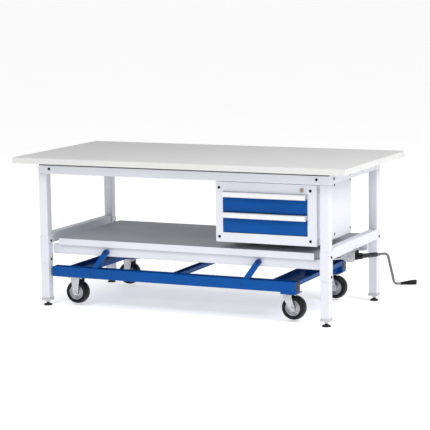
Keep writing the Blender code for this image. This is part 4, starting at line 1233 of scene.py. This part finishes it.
# %% Socket, rod, grip and housing
corners = np.array([
    from_pivot(SOCKET_END - 0.012),
    from_pivot(CRANK_BEND),
    from_pivot(CRANK_BEND + CRANK_SPLAY, CRANK_ARM),
    from_pivot(GRIP_START - 0.001, CRANK_ARM),
])
rod_path = eased(corners, 0.020, 10, closed=False)
rod = bent_rod(rod_path, np.full(len(rod_path), ROD))
pin = turned([(0, 0), (0.005, 0), (0.005, GRIP_END - GRIP_START + 0.004), (0, GRIP_END - GRIP_START + 0.004)],
             from_pivot(GRIP_START - 0.004, CRANK_ARM), ALONG, 24)
piece("crank_rod", [rod, pin], DARK_STEEL, "crank", ["crank_handle"])

head = [(0, GRIP_HEAD), (0.0048, GRIP_HEAD - 0.0002), (0.0072, 0.0016), (0.0078, 0), (0, 0)]
rivet = turned(head, from_pivot(GRIP_END, CRANK_ARM), ALONG, 32)
piece("crank_pin_head", [rivet], BRIGHT_STEEL, "crank")

s0 = HOUSING_END + 0.0003
socket = eased([(0.0084, s0), (0.0128, s0), (0.0130, s0 + 0.004), (0.0130, s0 + 0.026), (0.0118, s0 + 0.028),
                (0.0118, s0 + 0.031), (0.0130, s0 + 0.033), (0.0130, SOCKET_END - 0.012),
                (0.0112, SOCKET_END - 0.004), (0.0086, SOCKET_END), (0.0068, SOCKET_END)], 0.0008, 3,
               closed=False)
inner = np.array([(0.0068, SOCKET_END - 0.008), (0.0084, SOCKET_END - 0.010)])
socket_surface = turned(np.concatenate([socket, inner]), ORIGIN, ALONG, 48, closed=True)
set_screw = socket_screw(from_pivot(s0 + 0.016) + [0, -0.0128, 0], FRONT, 0.0042, 0.0022)
piece("crank_socket", [socket_surface, set_screw], BLACK_STEEL, "crank")

grip_length = GRIP_END - GRIP_START - 0.0006
share = np.linspace(0, 1, 24)
swell = 0.0088 + 0.0050 * np.sin(np.clip(share * 1.25, 0, 1) * np.pi / 2) ** 2
flutes = 0.0003 * np.sin(share * 2 * np.pi * 5)
body_radius = swell + flutes * (share > 0.25) * (share < 0.9)
body_rows = np.column_stack([body_radius, GRIP_START + 0.0003 + share * (grip_length - 0.003)])
grip_tip = GRIP_START + grip_length
nose = [(0.0124, grip_tip - 0.0012), (0.0098, grip_tip), (0.0054, grip_tip)]
grip_rows = np.concatenate([[(0.0054, GRIP_START + 0.0003)], body_rows, nose])
grip = turned(grip_rows, from_pivot(0, CRANK_ARM), ALONG, 48, closed=True)
piece("crank_grip_sleeve", [grip], BLACK_PLASTIC, "grip", ["crank_grip"])

h0, h1 = 0.0184, HOUSING_END - 0.0003
z = np.linspace(h0, h1, 49)
proud = (np.cos((z - h0) / (h1 - h0) * 2 * np.pi * 6) > 0) * (z > h0 + 0.006) * (z < h1 - 0.004)
ribs = 0.0172 + 0.0011 * proud
housing_rows = np.concatenate([[(0.0085, h0)], np.column_stack([ribs, z]), [(0.0085, h1)]])
housing = turned(housing_rows, ORIGIN, ALONG, 48, closed=True)
piece("spindle_housing", [housing], BLACK_PLASTIC, "trunnion", ["thrust_housing"])
print("crank throw", CRANK_ARM, "m, rod", len(rod_path), "rings")


# %% [markdown]
# ## Threaded spindle
# The spindle has a coarse trapezoidal thread so that one turn moves the nut 4 mm, slowly and with force. Near
# the housing it is plain where it runs in its bearing.

# %% Spindle
low, high = span("lift_spindle")
corner = np.array([low[0], 0, low[2]]) - ORIGIN
reach_in = float(corner @ ALONG) + 0.002
thread = threaded(ORIGIN, ALONG, reach_in, -0.030, 0.008, 0.004, 0.0014, 24, 8)
plain = turned([(0, -0.031), (0.0078, -0.031), (0.0078, 0.112), (0, 0.112)], ORIGIN, ALONG, 32)
piece("spindle_thread", [thread, plain], BRIGHT_STEEL, "crank", ["lift_spindle"])
print("thread from", round(reach_in, 3), "to -0.03 along the spindle")


# %% [markdown]
# ## Bracket bolts
# The bracket hangs under the right side beam. Its ears carry the trunnion on two bolts, and the nut on the
# chassis turns on two more. Each shows as a washer and a hexagon.

# %% Bolts of the bracket and the nut
ear_low, ear_high = span("spindle_bracket")
TRUNNION_BOLT_Y, NUT_BOLT_Y = 0.0350, 0.0262


def pivot_bolts(centre, reach, washer_radius, flat, height, stud, proud):
    """A washer and a nut on each side of a pivot, reach away from its middle."""
    made = []
    for sign in FACES.values():
        spot, way = np.array([centre[0], sign * reach, centre[2]]), (0, sign, 0)
        made += [washer(spot, way, washer_radius)]
        made += [hexagon_nut(spot + [0, sign * 0.001, 0], way, flat, height, stud, proud)]
    return made


bolts = pivot_bolts(ORIGIN, TRUNNION_BOLT_Y, 0.011, 0.0078, 0.0050, 0.0044, 0.002)
piece("trunnion_bolts", bolts, ZINC, "bench")
bolts = pivot_bolts(pivot("nut_tilt"), NUT_BOLT_Y, 0.010, 0.0075, 0.0040, 0.0042, 0.0015)
piece("nut_pivot_bolts", bolts, ZINC, "chassis")
print("bracket", np.round(ear_high - ear_low, 3))


# %% [markdown]
# ## Floor
# The bench stands on a wide pale floor. It glows a little, so that it stays white under the bench, where the
# lights don't reach.

# %% Floor
FLOOR_HALF = 300.0
floor_mesh = bpy.data.meshes.new("floor")
edge = np.array([(-1, -1, 0), (1, -1, 0), (1, 1, 0), (-1, 1, 0)]) * FLOOR_HALF
floor_mesh.from_pydata(edge.tolist(), [], [(0, 1, 2, 3)])
floor = bpy.data.objects.new("floor", floor_mesh)
bpy.context.scene.collection.objects.link(floor)
pale, tree, shader = finish_of("pale_floor", 0.75)
tone = between(tree, noise(tree, 0.8), (0.90, 0.90, 0.90), (0.92, 0.92, 0.92))
tree.links.new(tone, shader.inputs["Base Color"])
shader.inputs["Emission Color"].default_value = (1, 1, 1, 1)
shader.inputs["Emission Strength"].default_value = 0.48
floor_mesh.materials.append(pale)


# %% [markdown]
# ## Light
# The light is an even white sky and two large soft lamps, one in front and above and one from the right.
# Large lamps give the soft edges that coated steel shows in a studio.

# %% Light
def soft_light(name, place, aim, power, size):
    """A square area light at a place, turned to face a point."""
    data = bpy.data.lights.new(name, "AREA")
    data.energy = power
    data.size = size
    obj = bpy.data.objects.new(name, data)
    obj.location = place
    obj.rotation_mode = "QUATERNION"
    obj.rotation_quaternion = (Vector(aim) - Vector(place)).to_track_quat("-Z", "Y")
    bpy.context.scene.collection.objects.link(obj)


world = bpy.data.worlds.new("studio")
bpy.context.scene.world = world
world.use_nodes = True
sky = world.node_tree.nodes["Background"]
sky.inputs["Color"].default_value = (1, 1, 1, 1)
sky.inputs["Strength"].default_value = 0.52
soft_light("front_light", (-0.6, -4.2, 4.6), (0, 0, 0.5), 108, 2.2)
soft_light("right_light", (4.6, -1.0, 4.0), (0.4, 0, 0.5), 156, 2.0)
bpy.context.scene.view_settings.view_transform = "Standard"


# %% [markdown]
# ## Camera
# The camera is far away with a long lens, turned and tilted a little, which keeps the worktop's edges nearly
# parallel, as product pictures do.

# %% Camera
CAMERA_PLACE = (3.818, -8.604, 1.854)
YAW, PITCH, ROLL = math.radians(-24.41), math.radians(8.09), math.radians(-0.74)
LENS = 139.9
SENSOR = 36.0

look = Vector((math.sin(YAW) * math.cos(PITCH), math.cos(YAW) * math.cos(PITCH), -math.sin(PITCH)))
level = Vector((math.cos(YAW), -math.sin(YAW), 0))
lift = level.cross(look)
right = math.cos(ROLL) * level + math.sin(ROLL) * lift
over = math.cos(ROLL) * lift - math.sin(ROLL) * level
lens = bpy.data.cameras.new("camera")
lens.lens = LENS
lens.sensor_width = SENSOR
lens.clip_end = 200
camera = bpy.data.objects.new("camera", lens)
camera.matrix_world = Matrix.Translation(CAMERA_PLACE) @ Matrix((right, over, -look)).transposed().to_4x4()
bpy.context.scene.collection.objects.link(camera)
bpy.context.scene.camera = camera
print("camera", CAMERA_PLACE, "lens", LENS)
